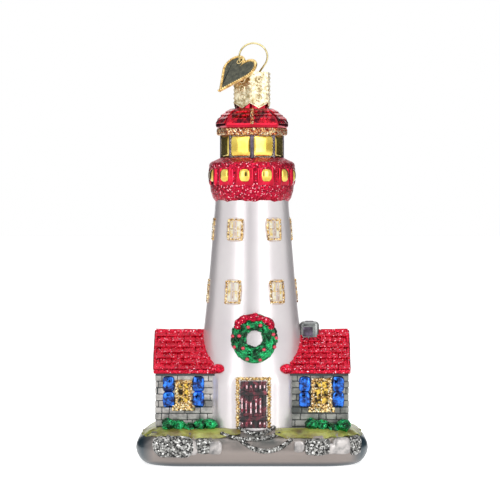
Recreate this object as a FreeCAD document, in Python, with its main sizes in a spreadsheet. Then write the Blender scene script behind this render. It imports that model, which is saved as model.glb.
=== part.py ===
"""A hanging glass lighthouse between two cottages, with its cap, wire loop and heart tag.

Millimetres. +Z is up, the front faces -Y, and the origin is the middle of the flat underside.
The painted surface carries the measured sizes. The glass lies one coat thickness inside it.
A size given as a formula is a place that follows from the sizes it names.
"""
import FreeCAD, Part
import math
import os
import re

import Sketcher

SIZES = {
    # Layers, from the outside in
    "coat": 0.2,
    "glass_wall": 1.0,
    "silver_film": 0.2,
    # Ground slab: its widest outline, and how far each level lies inside that outline
    "base_half_length": 34.6,
    "base_half_depth": 20.3,
    "base_end_flat": 6.3,
    "base_corner": "base_half_depth - base_end_flat",
    "base_toe_shrink": 3.6,
    "base_lip_shrink": 1.2,
    "base_bank_shrink": 0.9,
    "base_turf_shrink": 3.6,
    "base_top_shrink": 6.0,
    # Its levels, each above the one before
    "base_lip_rise": 1.7,
    "base_widest_rise": 3.1,
    "base_bank_rise": 2.8,
    "base_turf_rise": 2.3,
    "base_top_rise": 1.3,
    "base_widest": "base_lip_rise + base_widest_rise",
    "base_bank": "base_widest + base_bank_rise",
    "base_turf": "base_bank + base_turf_rise",
    "base_top": "base_turf + base_top_rise",
    # Tower
    "foot_sink": 4.2,
    "foot_height": "base_top - foot_sink",
    "drum_radius": 15.8,
    "drum_rise": 16.8,
    "drum_top": "base_top + drum_rise",
    "knee_radius": 13.1,
    "knee_rise": 23.2,
    "knee_height": "drum_top + knee_rise",
    "tower_top_radius": 10.8,
    "tower_rise": 27.0,
    "tower_top": "knee_height + tower_rise",
    # Lantern, with eight sides and a corner to the front; the gallery goes round its foot
    "lantern_radius": 9.7,
    "lantern_height": 6.9,
    "corner_bar_radius": 0.6,
    # Gallery
    "gallery_walk": 2.95,
    "gallery_radius": "lantern_radius + gallery_walk",
    "skirt_inset": 0.45,
    "skirt_radius": "gallery_radius - skirt_inset",
    "skirt_flare": 2.5,
    "skirt_band": 0.9,
    "skirt_draw": 0.9,
    "gallery_bottom": "tower_top + skirt_flare + skirt_band + skirt_draw",
    "gallery_height": 6.3,
    "gallery_top": "gallery_bottom + gallery_height",
    "gallery_edge": 1.1,
    "deck_rise": 2.1,
    "deck_height": "gallery_top + deck_rise",
    "panel_count": 12,
    "panel_turn": 5.0,
    "panel_relief": 0.4,
    "panel_width": 6.0,
    "panel_margin": 0.5,
    "panel_corner": 1.2,
    "gallery_window_width": 2.4,
    "gallery_window_height": 3.8,
    "gallery_window_flat": 0.05,
    "gallery_window_corner": "gallery_window_width / 2 - gallery_window_flat",
    "gallery_window_relief": 0.3,
    # Roof of the lantern
    "lantern_top": "deck_height + lantern_height",
    "band_overhang": 0.6,
    "band_radius": "lantern_radius + band_overhang",
    "band_height": 2.1,
    "band_top": "lantern_top + band_height",
    "eave_overhang": 0.65,
    "eave_radius": "band_radius + eave_overhang",
    "eave_rise": 0.9,
    "eave_height": "band_top + eave_rise",
    "roof_rise": 4.8,
    "shoulder_height": "eave_height + roof_rise",
    "hip_trim_width": 0.9,
    # Cap, which sits on the shoulder of that roof
    "cap_radius": 5.85,
    "cap_turn": 24.0,
    "cap_wall": 0.35,
    "cap_height": 10.9,
    "cap_point": 1.6,
    "cap_seat_gap": 0.05,
    "shoulder_margin": 0.75,
    "shoulder_radius": "cap_radius + shoulder_margin",
    # Neck, hidden in the cap
    "neck_fit": 0.316,
    "neck_radius": "cap_radius * cos(30) - cap_wall - neck_fit",
    "neck_rise": 7.6,
    "neck_top": "shoulder_height + neck_rise",
    # Cottages, set in from the slab's edge
    "wall_end_margin": 6.0,
    "wall_half_length": "base_half_length - wall_end_margin",
    "wall_side_margin": 9.4,
    "wall_half_depth": "base_half_depth - wall_side_margin",
    "wall_height": 15.7,
    "roof_underside": "base_top + wall_height",
    "roof_end_overhang": 0.7,
    "roof_half_length": "wall_half_length + roof_end_overhang",
    "roof_side_overhang": 1.3,
    "roof_half_depth": "wall_half_depth + roof_side_overhang",
    "roof_edge": 1.3,
    "roof_climb": 11.1,
    "ridge_height": "roof_underside + roof_edge + roof_climb",
    # Chimney
    "chimney_inset": 12.1,
    "chimney_place": "roof_half_length - chimney_inset",
    "chimney_width": 5.7,
    "chimney_depth": 5.0,
    "chimney_rise": 2.6,
    "chimney_top": "ridge_height + chimney_rise",
    "chimney_rounding": 0.9,
    # Windows of the tower, six round each of two rows
    "window_count": 6,
    "window_turn": 4.5,
    "window_width": 5.2,
    "window_frame": 0.8,
    "window_bar": 0.35,
    "frame_relief": 0.45,
    "pane_relief": 0.2,
    "low_window_rise": 19.7,
    "low_window_bottom": "drum_top + low_window_rise",
    "low_window_height": 6.9,
    "high_window_rise": 15.2,
    "high_window_bottom": "knee_height + high_window_rise",
    "high_window_height": 6.4,
    # Windows of the cottages, front and back
    "left_window_inset": 8.3,
    "left_window_place": "wall_half_length - left_window_inset",
    "left_window_width": 4.9,
    "left_window_rise": 6.3,
    "left_window_bottom": "base_top + left_window_rise",
    "left_window_height": 7.6,
    "right_window_inset": 8.0,
    "right_window_place": "wall_half_length - right_window_inset",
    "right_window_width": 6.0,
    "right_window_rise": 5.8,
    "right_window_bottom": "base_top + right_window_rise",
    "right_window_height": 8.6,
    "cottage_window_frame": 0.8,
    "sill_overhang": 0.9,
    "sill_height": 1.6,
    "sill_relief": 0.7,
    "shutter_width": 3.6,
    "shutter_height": 9.2,
    "shutter_gap": 0.15,
    "shutter_relief": 0.55,
    # Door
    "door_place": 0.4,
    "door_width": 7.8,
    "door_bottom": "base_top",
    "door_height": 14.0,
    "door_frame_width": 1.4,
    "door_frame_relief": 0.7,
    "door_relief": 0.3,
    "batten_height": 1.4,
    "batten_relief": 0.55,
    "low_batten": 2.2,
    "high_batten": 9.6,
    # Steps: each a disc's lower part, down to its drop below the door
    "step_place": 1.1,
    "step_relief": 0.55,
    "top_step_radius": 7.8,
    "top_step_drop": 2.2,
    "top_step_half_width": 5.4,
    "middle_step_radius": 20.0,
    "middle_step_drop": 3.6,
    "middle_step_half_width": 8.6,
    "low_step_radius": 10.4,
    "low_step_drop": 6.6,
    "low_step_half_width": 7.4,
    # Wreath over the door
    "wreath_place": 0.7,
    "wreath_rise": 9.6,
    "wreath_height": "drum_top + wreath_rise",
    "wreath_ring": 4.8,
    "wreath_thickness": 2.45,
    "wreath_relief": 1.6,
    "berry_radius": 0.6,
    "berry_inner_ring": 3.7,
    "berry_outer_ring": 5.6,
    "bow_half_width": 5.0,
    "bow_drop": 2.3,
    "bow_band": 1.7,
    "bow_relief": 0.7,
    # Garden
    "grass_relief": 0.35,
    "grass_drop": 2.6,
    "grass_bottom": "base_top - grass_drop",
    "grass_inner": 5.6,
    "grass_end_margin": 4.6,
    "grass_outer": "base_half_length - grass_end_margin",
    "bush_step": 3.1,
    "bush_stand_off": 2.4,
    "bush_depth": "wall_half_depth + bush_stand_off",
    "bush_rise": 0.4,
    "bush_height": "base_top + bush_rise",
    "bush_flatness": 0.8,
    "left_bush_inset": 16.1,
    "left_bush_place": "base_half_length - left_bush_inset",
    "left_bush_radius": 2.2,
    "left_bush_count": 5,
    "right_bush_inset": 12.2,
    "right_bush_place": "base_half_length - right_bush_inset",
    "right_bush_radius": 2.5,
    "right_bush_count": 3,
    "rock_relief": 1.4,
    "rock_corner": 1.3,
    "rock_rise": 1.4,
    "rock_height": "base_widest + rock_rise",
    # Each rock: how far its middle lies from the slab's end, then its half width and half height
    "left_wide_rock": 11.4,
    "left_wide_rock_half_width": 5.6,
    "left_wide_rock_half_height": 3.0,
    "left_round_rock": 20.4,
    "left_round_rock_half_width": 2.5,
    "left_round_rock_half_height": 2.0,
    "left_inner_rock": 23.6,
    "left_inner_rock_half_width": 2.1,
    "left_inner_rock_half_height": 1.8,
    "right_inner_rock": 20.8,
    "right_inner_rock_half_width": 1.6,
    "right_inner_rock_half_height": 1.5,
    "right_wide_rock": 15.3,
    "right_wide_rock_half_width": 3.7,
    "right_wide_rock_half_height": 2.2,
    "right_pale_rock": 8.5,
    "right_pale_rock_half_width": 2.7,
    "right_pale_rock_half_height": 2.3,
    "right_end_rock": 4.6,
    "right_end_rock_half_width": 2.2,
    "right_end_rock_half_height": 2.7,
    # Wire loop
    "wire_radius": 0.27,
    "wire_fit": 0.08,
    "wire_bend": 0.9,
    "loop_place": 0.4,
    "loop_radius": 4.2,
    "loop_rise": 4.9,
    "loop_lean": 20.0,
    "leg_angle": 34.0,
    "leg_straight": 2.4,
    "leg_length": 9.0,
    # Heart tag
    "tag_thickness": 0.45,
    "tag_rim": 0.9,
    "tag_recess": 0.15,
    "tag_lobe_radius": 4.0,
    "tag_lobe_place": 3.1,
    "tag_lobe_height": 9.8,
    "tag_hole_radius": 0.8,
    "tag_hole_place": 1.9,
    "tag_hole_height": 11.8,
    "tag_loop_angle": 202.0,
    "tag_point_angle": 50.0,
    "tag_lean_left": 0.987,
    "tag_lean_back": 1.163,
}

UP = FreeCAD.Vector(0, 0, 1)
ALONG_X = FreeCAD.Vector(1, 0, 0)

doc = FreeCAD.newDocument("lighthouse")
sheet = doc.addObject("Spreadsheet::Sheet", "Sizes")
for row, (alias, value) in enumerate(SIZES.items(), start=1):
    sheet.set(f"A{row}", alias)
    sheet.set(f"B{row}", f"={value}" if isinstance(value, str) else str(value))
    sheet.setAlias(f"B{row}", alias)
doc.recompute()


def bound(text):
    """Point every size named in an expression at its cell in the sheet."""
    def cell(word):
        return f"Sizes.{word.group()}" if word.group() in SIZES else word.group()
    return re.sub(r"[a-z_]+", cell, text)


def size(text):
    """The present value of an expression of sizes, as a plain number."""
    value = sheet.evalExpression(bound(text))
    return float(getattr(value, "Value", value))


def bind(item, **expressions):
    """Tie properties of an object to expressions; Base_x stands for Placement.Base.x."""
    for name, text in expressions.items():
        item.setExpression(name.replace("Base_", "Placement.Base."), bound(text))
    return item


# Sketches

def attached_sketch(body, name, role):
    """A sketch of a body on one of the body's own origin planes."""
    sketch = body.newObject("Sketcher::SketchObject", name)
    plane = next(item for item in body.Origin.OriginFeatures if item.Role == role)
    sketch.AttachmentSupport = [(plane, "")]
    sketch.MapMode = "FlatFace"
    return sketch


def place_point(sketch, geometry, end, across, up):
    """Hold one point of a sketch at two expressions, measured from the sketch's origin."""
    for kind, axis, text in (("DistanceX", -2, across), ("DistanceY", -1, up)):
        if text == "0":
            sketch.addConstraint(Sketcher.Constraint("PointOnObject", geometry, end, axis))
        else:
            number = sketch.addConstraint(Sketcher.Constraint(kind, -1, 1, geometry, end, size(text)))
            sketch.setExpression(f"Constraints[{number}]", bound(text))


def add_outline(sketch, corners):
    """Draw a closed outline with straight sides through corners given as expressions."""
    points = [FreeCAD.Vector(size(across), size(up), 0) for across, up in corners]
    first = sketch.GeometryCount
    for index, point in enumerate(points):
        sketch.addGeometry(Part.LineSegment(point, points[(index + 1) % len(points)]))
    for index, (across, up) in enumerate(corners):
        previous = first + (index - 1) % len(points)
        sketch.addConstraint(Sketcher.Constraint("Coincident", previous, 2, first + index, 1))
        place_point(sketch, first + index, 1, across, up)


def add_rectangle(sketch, left, right, bottom, top):
    """Draw a rectangle between two widths and two heights."""
    add_outline(sketch, [(left, bottom), (right, bottom), (right, top), (left, top)])


def add_rounded_rectangle(sketch, left, right, bottom, top, radius):
    """Draw a rectangle with quarter-circle corners."""
    edges = [size(text) for text in (left, right, bottom, top)]
    low_x, high_x, low_y, high_y = edges
    curve = size(radius)
    first = sketch.GeometryCount
    sides = [
        ((low_x + curve, low_y), (high_x - curve, low_y)),
        ((high_x, low_y + curve), (high_x, high_y - curve)),
        ((high_x - curve, high_y), (low_x + curve, high_y)),
        ((low_x, high_y - curve), (low_x, low_y + curve)),
    ]
    for start, end in sides:
        sketch.addGeometry(Part.LineSegment(FreeCAD.Vector(*start, 0), FreeCAD.Vector(*end, 0)))
    centres = [
        (high_x - curve, low_y + curve, -math.pi / 2),
        (high_x - curve, high_y - curve, 0),
        (low_x + curve, high_y - curve, math.pi / 2),
        (low_x + curve, low_y + curve, math.pi),
    ]
    for across, up, angle in centres:
        circle = Part.Circle(FreeCAD.Vector(across, up, 0), UP, curve)
        sketch.addGeometry(Part.ArcOfCircle(circle, angle, angle + math.pi / 2))
    for index in range(4):
        arc = first + 4 + index
        sketch.addConstraint(Sketcher.Constraint("Tangent", first + index, 2, arc, 1))
        sketch.addConstraint(Sketcher.Constraint("Tangent", arc, 2, first + (index + 1) % 4, 1))
        level = "Horizontal" if index % 2 == 0 else "Vertical"
        sketch.addConstraint(Sketcher.Constraint(level, first + index))
        if index:
            sketch.addConstraint(Sketcher.Constraint("Equal", first + 4, arc))
    number = sketch.addConstraint(Sketcher.Constraint("Radius", first + 4, curve))
    sketch.setExpression(f"Constraints[{number}]", bound(radius))
    held = (("DistanceY", bottom), ("DistanceX", right), ("DistanceY", top), ("DistanceX", left))
    for index, (kind, text) in enumerate(held):
        number = sketch.addConstraint(Sketcher.Constraint(kind, -1, 1, first + index, 1, size(text)))
        sketch.setExpression(f"Constraints[{number}]", bound(text))


# Bodies and booleans

def new_body(label):
    """An empty PartDesign body."""
    body = doc.addObject("PartDesign::Body", label)
    body.Label = label
    return body


def turned_body(label, corners):
    """A body turned about the Z axis from an outline of radii and heights."""
    body = new_body(label)
    sketch = attached_sketch(body, f"{label}_profile", "XZ_Plane")
    add_outline(sketch, corners)
    turn = body.newObject("PartDesign::Revolution", f"{label}_turn")
    turn.Profile = sketch
    turn.ReferenceAxis = (sketch, ["V_Axis"])
    turn.Angle = 360
    return body


def padded_body(label, role, draw, length, both_ways=False):
    """A body padded from a sketch that the draw function fills."""
    body = new_body(label)
    sketch = attached_sketch(body, f"{label}_outline", role)
    draw(sketch)
    pad = body.newObject("PartDesign::Pad", f"{label}_pad")
    pad.Profile = sketch
    pad.SideType = "Symmetric" if both_ways else "One side"
    pad.setExpression("Length", bound(length))
    return body


def turned_round(item, angle):
    """Turn an object about the Z axis by an expression in degrees."""
    item.Placement.Rotation = FreeCAD.Rotation(UP, 1)
    item.setExpression("Placement.Rotation.Angle", bound(angle))
    return item


def patterned(body, count):
    """Repeat a body's last feature round the Z axis."""
    pattern = body.newObject("PartDesign::PolarPattern", f"{body.Label}_ring")
    pattern.Originals = [body.Tip]
    axis = next(item for item in body.Origin.OriginFeatures if item.Role == "Z_Axis")
    pattern.Axis = (axis, [""])
    pattern.Angle = 360
    pattern.setExpression("Occurrences", bound(count))
    body.Tip = pattern
    return body


def fused(label, *shapes):
    item = doc.addObject("Part::MultiFuse", label)
    item.Shapes = list(shapes)
    return item


def shared(label, *shapes):
    item = doc.addObject("Part::MultiCommon", label)
    item.Shapes = list(shapes)
    return item


def less(label, kept, *removed):
    item = doc.addObject("Part::Cut", label)
    item.Base = kept
    item.Tool = removed[0] if len(removed) == 1 else fused(f"{label}_tools", *removed)
    return item


def cylinder(label, radius, bottom, top):
    """An upright cylinder on the Z axis between two heights."""
    item = doc.addObject("Part::Cylinder", label)
    return bind(item, Radius=radius, Height=f"({top}) - ({bottom})", Base_z=bottom)


def block(label, left, right, front, back, bottom, top):
    """A box between two widths, depths and heights."""
    item = doc.addObject("Part::Box", label)
    bind(item, Length=f"({right}) - ({left})", Width=f"({back}) - ({front})", Height=f"({top}) - ({bottom})")
    return bind(item, Base_x=left, Base_y=front, Base_z=bottom)


# Forms of the ornament's surface, each drawn again at any inset from the painted surface

def tower_form(label, inset):
    """Drum, tapering tower and gallery, turned about the axis."""
    return turned_body(label, [
        ("0", "foot_height"),
        (f"drum_radius - ({inset})", "foot_height"),
        (f"drum_radius - ({inset})", "drum_top"),
        (f"knee_radius - ({inset})", "knee_height"),
        (f"tower_top_radius - ({inset})", "tower_top"),
        (f"skirt_radius - ({inset})", "tower_top + skirt_flare"),
        (f"skirt_radius - ({inset})", "tower_top + skirt_flare + skirt_band"),
        (f"gallery_radius - ({inset})", "gallery_bottom"),
        (f"gallery_radius - ({inset})", f"gallery_top - ({inset}) / 2"),
        (f"gallery_radius - gallery_edge - ({inset}) / 2", f"gallery_top + gallery_edge - ({inset})"),
        (f"lantern_radius - ({inset})", f"deck_height - ({inset})"),
        ("0", f"deck_height - ({inset})"),
    ])


def lantern_form(label, inset):
    """Eight-sided lantern; it reaches down into the gallery and up into the roof."""
    item = doc.addObject("Part::Prism", label)
    item.Polygon = 8
    bind(item, Circumradius=f"lantern_radius - ({inset}) / cos(22.5)", Base_z="gallery_bottom")
    return bind(item, Height="eave_height - gallery_bottom")


def lofted(label, sections):
    """A solid with flat flanks through closed outlines, from the lowest to the highest."""
    item = doc.addObject("Part::Loft", label)
    item.Sections = sections
    item.Solid = True
    item.Ruled = True
    return item


def roof_form(label, inset):
    """Eight-sided roof over the lantern: fascia band, eave and slopes up to the shoulder."""
    levels = [
        (f"band_radius - ({inset})", f"lantern_top + ({inset})"),
        (f"band_radius - ({inset})", "band_top"),
        (f"eave_radius - ({inset})", "eave_height"),
        (f"shoulder_radius - ({inset})", f"shoulder_height - ({inset})"),
    ]
    sections = []
    for number, (radius, height) in enumerate(levels):
        section = doc.addObject("Part::RegularPolygon", f"{label}_section{number}")
        section.Polygon = 8
        sections.append(bind(section, Circumradius=radius, Base_z=height))
    return lofted(label, sections)


def base_form(label, inset, floor):
    """Ground slab: a rounded oblong that swells to its widest and then rises to the turf."""
    levels = [
        ("base_toe_shrink", floor),
        ("base_lip_shrink", f"base_lip_rise + ({floor})"),
        ("0", "base_widest"),
        ("base_bank_shrink", "base_bank"),
        ("base_turf_shrink", f"base_turf - ({inset})"),
        ("base_top_shrink", f"base_top - ({inset})"),
    ]
    sections = []
    for number, (shrink, height) in enumerate(levels):
        across = f"base_half_length - ({shrink}) - ({inset})"
        along = f"base_half_depth - ({shrink}) - ({inset})"
        corner = f"base_corner - ({shrink}) - ({inset})"
        section = doc.addObject("Sketcher::SketchObject", f"{label}_section{number}")
        add_rounded_rectangle(section, f"-({across})", across, f"-({along})", along, corner)
        sections.append(bind(section, Base_z=height))
    return lofted(label, sections)


ROOF_PITCH = "((ridge_height - roof_underside - roof_edge) / roof_half_depth)"


def gable_form(label, inset, half_length, half_depth, bottom):
    """A gabled block along X, under the slopes of the cottage roofs."""
    ridge = f"ridge_height - ({inset}) * sqrt(1 + {ROOF_PITCH}^2)"
    eave = f"{ridge} - ({half_depth}) * {ROOF_PITCH}"
    corners = [
        (f"-({half_depth})", bottom),
        (half_depth, bottom),
        (half_depth, eave),
        ("0", ridge),
        (f"-({half_depth})", eave),
    ]

    def draw(sketch):
        add_outline(sketch, corners)
    return padded_body(label, "YZ_Plane", draw, f"2 * ({half_length})", both_ways=True)


def walls_form(label, inset):
    """The cottages' walls, one block that runs through the foot of the tower."""
    across = f"(wall_half_length - ({inset}))"
    along = f"(wall_half_depth - ({inset}))"
    return block(label, f"-{across}", across, f"-{along}", along, "foot_height", "roof_underside + roof_edge")


def outer_forms(label, inset):
    """Every outer form at one inset, in the order tower, lantern, roof, neck, base, walls, gable."""
    gable_length = f"roof_half_length - ({inset})"
    gable_depth = f"roof_half_depth - ({inset})"
    gable_bottom = f"roof_underside + ({inset})"
    return {
        "tower": tower_form(f"{label}_tower", inset),
        "lantern": lantern_form(f"{label}_lantern", inset),
        "roof": roof_form(f"{label}_roof", inset),
        "neck": cylinder(f"{label}_neck", f"neck_radius + coat - ({inset})", "eave_height", "neck_top"),
        "base": base_form(f"{label}_base", inset, "0"),
        "walls": walls_form(f"{label}_walls", inset),
        "gable": gable_form(f"{label}_gable", inset, gable_length, gable_depth, gable_bottom),
    }


def inner_solid(label, inset, floor):
    """The hollow at one inset, as one solid that runs out through the neck."""
    wall_length = f"wall_half_length - ({inset})"
    wall_depth = f"wall_half_depth - ({inset})"
    return fused(
        label,
        tower_form(f"{label}_tower", inset),
        lantern_form(f"{label}_lantern", inset),
        roof_form(f"{label}_roof", inset),
        cylinder(f"{label}_neck", f"neck_radius + coat - ({inset})", "eave_height", "neck_top"),
        base_form(f"{label}_base", inset, floor),
        gable_form(f"{label}_gable", inset, wall_length, wall_depth, "foot_height"),
    )


painted = outer_forms("painted", "0")
painted_solid = fused("painted_solid", *painted.values())
glass_solid = fused("glass_solid", *outer_forms("glass", "coat").values())
glass_hollow = inner_solid("glass_hollow", "coat + glass_wall", "glass_wall")
lining_hollow = inner_solid("lining_hollow", "coat + glass_wall + silver_film", "glass_wall + silver_film")
paint_layer = less("paint_layer", painted_solid, glass_solid)

glass_shell = less("glass_shell", glass_solid, glass_hollow)
silver_lining = less("silver_lining", glass_hollow, lining_hollow)

# Coats of the tower head: the paint layer between two heights

tower_zone = cylinder("tower_zone", "2 * drum_radius", "foot_height", "tower_top")
tower_pearl_coat = shared("tower_pearl_coat", paint_layer, painted["tower"], tower_zone)


def head_coat(label, bottom, top):
    """The paint layer of the tower's head between two heights."""
    return shared(label, paint_layer, cylinder(f"{label}_zone", "2 * gallery_radius", bottom, top))


def wall_pieces(label, width, bottom, height, depth, count, corner=None, first_angle="0"):
    """Pads that stand out from the axis, evenly spaced round it; rows share one sketch."""
    def draw(sketch):
        for low, tall in zip(bottom, height):
            edges = (f"-({width}) / 2", f"({width}) / 2", low, f"({low}) + ({tall})")
            if corner:
                add_rounded_rectangle(sketch, *edges, corner)
            else:
                add_rectangle(sketch, *edges)
    return turned_round(patterned(padded_body(label, "XZ_Plane", draw, depth), count), first_angle)


gallery_plain_coat = head_coat("gallery_plain_coat", "tower_top", "deck_height")
panel_low = "gallery_bottom + panel_margin"
panel_tall = "gallery_top - gallery_bottom - 2 * panel_margin"
panel_pads = wall_pieces("panel_pads", "panel_width", [panel_low], [panel_tall], "2 * gallery_radius",
                         "panel_count", corner="panel_corner", first_angle="panel_turn + 180 / panel_count")
panel_skin = cylinder("panel_skin", "gallery_radius + panel_relief", "gallery_bottom", "gallery_top")
gallery_panels = less("gallery_panels", shared("panel_forms", panel_pads, panel_skin), painted_solid)
gallery_red_coat = fused("gallery_red_coat", gallery_plain_coat, gallery_panels)

window_low = "(gallery_bottom + gallery_top - gallery_window_height) / 2"
window_tall = "gallery_window_height"
window_pads = wall_pieces("gallery_window_pads", "gallery_window_width", [window_low], [window_tall],
                          "2 * gallery_radius", "panel_count", corner="gallery_window_corner",
                          first_angle="panel_turn + 180 / panel_count")
window_skin = cylinder("gallery_window_skin", "gallery_radius + panel_relief + gallery_window_relief",
                       "gallery_bottom", "gallery_top")
window_forms = shared("gallery_window_forms", window_pads, window_skin)
gallery_windows = less("gallery_windows", window_forms, panel_skin)

lantern_coat = head_coat("lantern_coat", "deck_height", "lantern_top")
corner_posts = []
for number in range(8):
    post = cylinder(f"corner_post{number}", "corner_bar_radius", "deck_height", "lantern_top")
    bind(post, Base_x=f"lantern_radius * cos({45 * number})")
    bind(post, Base_y=f"lantern_radius * sin({45 * number})")
    corner_posts.append(post)
all_posts = fused("corner_posts", *corner_posts)
lantern_corner_bars = shared("lantern_corner_bars", lantern_coat, all_posts)
lantern_panes = less("lantern_panes", lantern_coat, all_posts)

hip_strips = wall_pieces("hip_strips", "hip_trim_width", ["band_top"], ["shoulder_height - band_top"],
                         "2 * eave_radius", "8")
roof_slope_coat = head_coat("roof_slope_coat", "band_top", "shoulder_height")
lantern_roof_trim = fused("lantern_roof_trim", head_coat("roof_band_coat", "lantern_top", "band_top"),
                          shared("hip_trim", roof_slope_coat, hip_strips))
lantern_roof_coat = less("lantern_roof_coat", roof_slope_coat, hip_strips)

# Coats of the cottages and the ground

base_coat = less("base_coat", shared("base_paint", paint_layer, painted["base"]), painted["tower"])
roof_paint = less("roof_paint", shared("gable_paint", paint_layer, painted["gable"]), painted["tower"])
wall_paint = less("wall_paint", shared("walls_paint", paint_layer, painted["walls"]),
                  painted["tower"], painted["base"], painted["gable"])
cottage_roofs = {}
cottage_walls = {}
for side, left_end, right_end in (("left", "-base_half_length", "0"), ("right", "0", "base_half_length")):
    half = block(f"{side}_half", left_end, right_end, "-base_half_depth", "base_half_depth", "0", "tower_top")
    cottage_roofs[side] = shared(f"cottage_roof_{side}", roof_paint, half)
    cottage_walls[side] = shared(f"cottage_walls_{side}", wall_paint, half)


def draw_chimney(sketch):
    left = "chimney_place - chimney_width / 2"
    right = "chimney_place + chimney_width / 2"
    add_rounded_rectangle(sketch, left, right, "-chimney_depth / 2", "chimney_depth / 2", "chimney_rounding")


chimney_block = padded_body("chimney_block", "XY_Plane", draw_chimney, "chimney_top")
chimney = less("chimney", chimney_block, painted_solid)

# Windows of the tower

lows = ["low_window_bottom", "high_window_bottom"]
talls = ["low_window_height", "high_window_height"]
light_lows = [f"{low} + window_frame" for low in lows]
light_talls = [f"{tall} - 2 * window_frame" for tall in talls]
cross_lows = [f"{low} + {tall} / 2 - window_bar / 2" for low, tall in zip(lows, talls)]
cross_talls = ["window_bar", "window_bar"]
light_width = "window_width - 2 * window_frame"
frame_skin = tower_form("frame_skin", "-frame_relief")
pane_skin = tower_form("pane_skin", "-pane_relief")


def window_pieces(label, width, bottoms, heights):
    """Pads for both rows of windows, all round the tower."""
    return wall_pieces(label, width, bottoms, heights, "2 * drum_radius", "window_count",
                       first_angle="window_turn + 180 / window_count")


frame_pads = window_pieces("frame_pads", "window_width", lows, talls)
light_pads = window_pieces("light_pads", light_width, light_lows, light_talls)
upright_pads = window_pieces("upright_pads", "window_bar", light_lows, light_talls)
cross_pads = window_pieces("cross_pads", light_width, cross_lows, cross_talls)
frame_forms = fused("frame_forms", less("frame_rings", frame_pads, light_pads), upright_pads, cross_pads)
frame_solids = shared("frame_solids", frame_forms, frame_skin)
tower_window_frames = less("tower_window_frames", frame_solids, painted["tower"])
pane_solids = shared("pane_solids", light_pads, pane_skin)
tower_window_panes = less("tower_window_panes", pane_solids, painted["tower"], tower_window_frames)


# Windows of the cottages: pads right through the block show at the front and at the back

def cottage_pads(label, relief, edges):
    """Rectangles through the cottages, trimmed to a relief in front of the walls and behind them."""
    def draw(sketch):
        for rectangle in edges:
            add_rectangle(sketch, *rectangle)
    pads = padded_body(f"{label}_pads", "XZ_Plane", draw, "2 * base_half_depth", both_ways=True)
    slab = block(f"{label}_slab", "-base_half_length", "base_half_length", f"-wall_half_depth - {relief}",
                 f"wall_half_depth + {relief}", "foot_height", "ridge_height")
    return shared(label, pads, slab)


def window_edges(side, sign, margin):
    """Left, right, bottom and top of one cottage window, less a margin."""
    middle = f"({sign} * {side}_window_place)"
    half = f"({side}_window_width / 2 - {margin})"
    return (f"{middle} - {half}", f"{middle} + {half}", f"{side}_window_bottom + {margin}",
            f"{side}_window_bottom + {side}_window_height - {margin}")


def sill_edges(side, sign):
    left, right, bottom, _ = window_edges(side, sign, "0")
    return (f"{left} - sill_overhang", f"{right} + sill_overhang", f"{bottom} - sill_height", bottom)


def shutter_edges(side, sign, hand):
    left, right, bottom, top = window_edges(side, sign, "0")
    low = f"({bottom} + {top} - shutter_height) / 2"
    high = f"({bottom} + {top} + shutter_height) / 2"
    if hand == "left":
        return (f"{left} - shutter_gap - shutter_width", f"{left} - shutter_gap", low, high)
    return (f"{right} + shutter_gap", f"{right} + shutter_gap + shutter_width", low, high)


sides = (("left", -1), ("right", 1))
light_edges = [window_edges(side, sign, "cottage_window_frame") for side, sign in sides]
frame_edges = [window_edges(side, sign, "0") for side, sign in sides]
all_sills = [sill_edges(side, sign) for side, sign in sides]
all_shutters = [shutter_edges(side, sign, hand) for side, sign in sides for hand in ("left", "right")]
openings = cottage_pads("cottage_openings", "frame_relief", light_edges)
surrounds = cottage_pads("cottage_surrounds", "frame_relief", frame_edges)
sills = cottage_pads("cottage_sills", "sill_relief", all_sills)
cottage_frame_forms = fused("cottage_frame_forms", less("cottage_rings", surrounds, openings), sills)
cottage_window_frames = less("cottage_window_frames", cottage_frame_forms, painted_solid)
cottage_lights = cottage_pads("cottage_lights", "pane_relief", light_edges)
cottage_window_panes = less("cottage_window_panes", cottage_lights, painted_solid)
shutter_forms = cottage_pads("shutter_forms", "shutter_relief", all_shutters)
cottage_shutters = less("cottage_shutters", shutter_forms, painted_solid, sills)

# Door and steps

def front_pads(label, edges):
    """Rectangles that stand out from the axis plane to the front."""
    def draw(sketch):
        for rectangle in edges:
            add_rectangle(sketch, *rectangle)
    return padded_body(label, "XZ_Plane", draw, "2 * drum_radius")


door_left = "door_place - door_width / 2"
door_right = "door_place + door_width / 2"
door_top = "door_bottom + door_height"
frame_left = f"{door_left} - door_frame_width"
frame_right = f"{door_right} + door_frame_width"
batten_edges = [
    (door_left, door_right, f"door_bottom + {low}", f"door_bottom + {low} + batten_height")
    for low in ("low_batten", "high_batten")
]
opening_pad = front_pads("door_opening", [(door_left, door_right, "door_bottom", door_top)])
surround_edges = (frame_left, frame_right, "door_bottom", f"{door_top} + door_frame_width")
surround_pad = front_pads("door_surround", [surround_edges])
batten_pad = front_pads("door_battens", batten_edges)
door_ring = less("door_ring", surround_pad, opening_pad)
door_frame_form = shared("door_frame_form", door_ring, tower_form("door_frame_skin", "-door_frame_relief"))
door_frame = less("door_frame", door_frame_form, painted_solid)
plank_form = shared("door_plank_form", opening_pad, tower_form("door_skin", "-door_relief"))
batten_form = shared("door_batten_form", batten_pad, tower_form("batten_skin", "-batten_relief"))
door_leaf = less("door_leaf", fused("door_leaf_forms", plank_form, batten_form), painted_solid)

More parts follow.
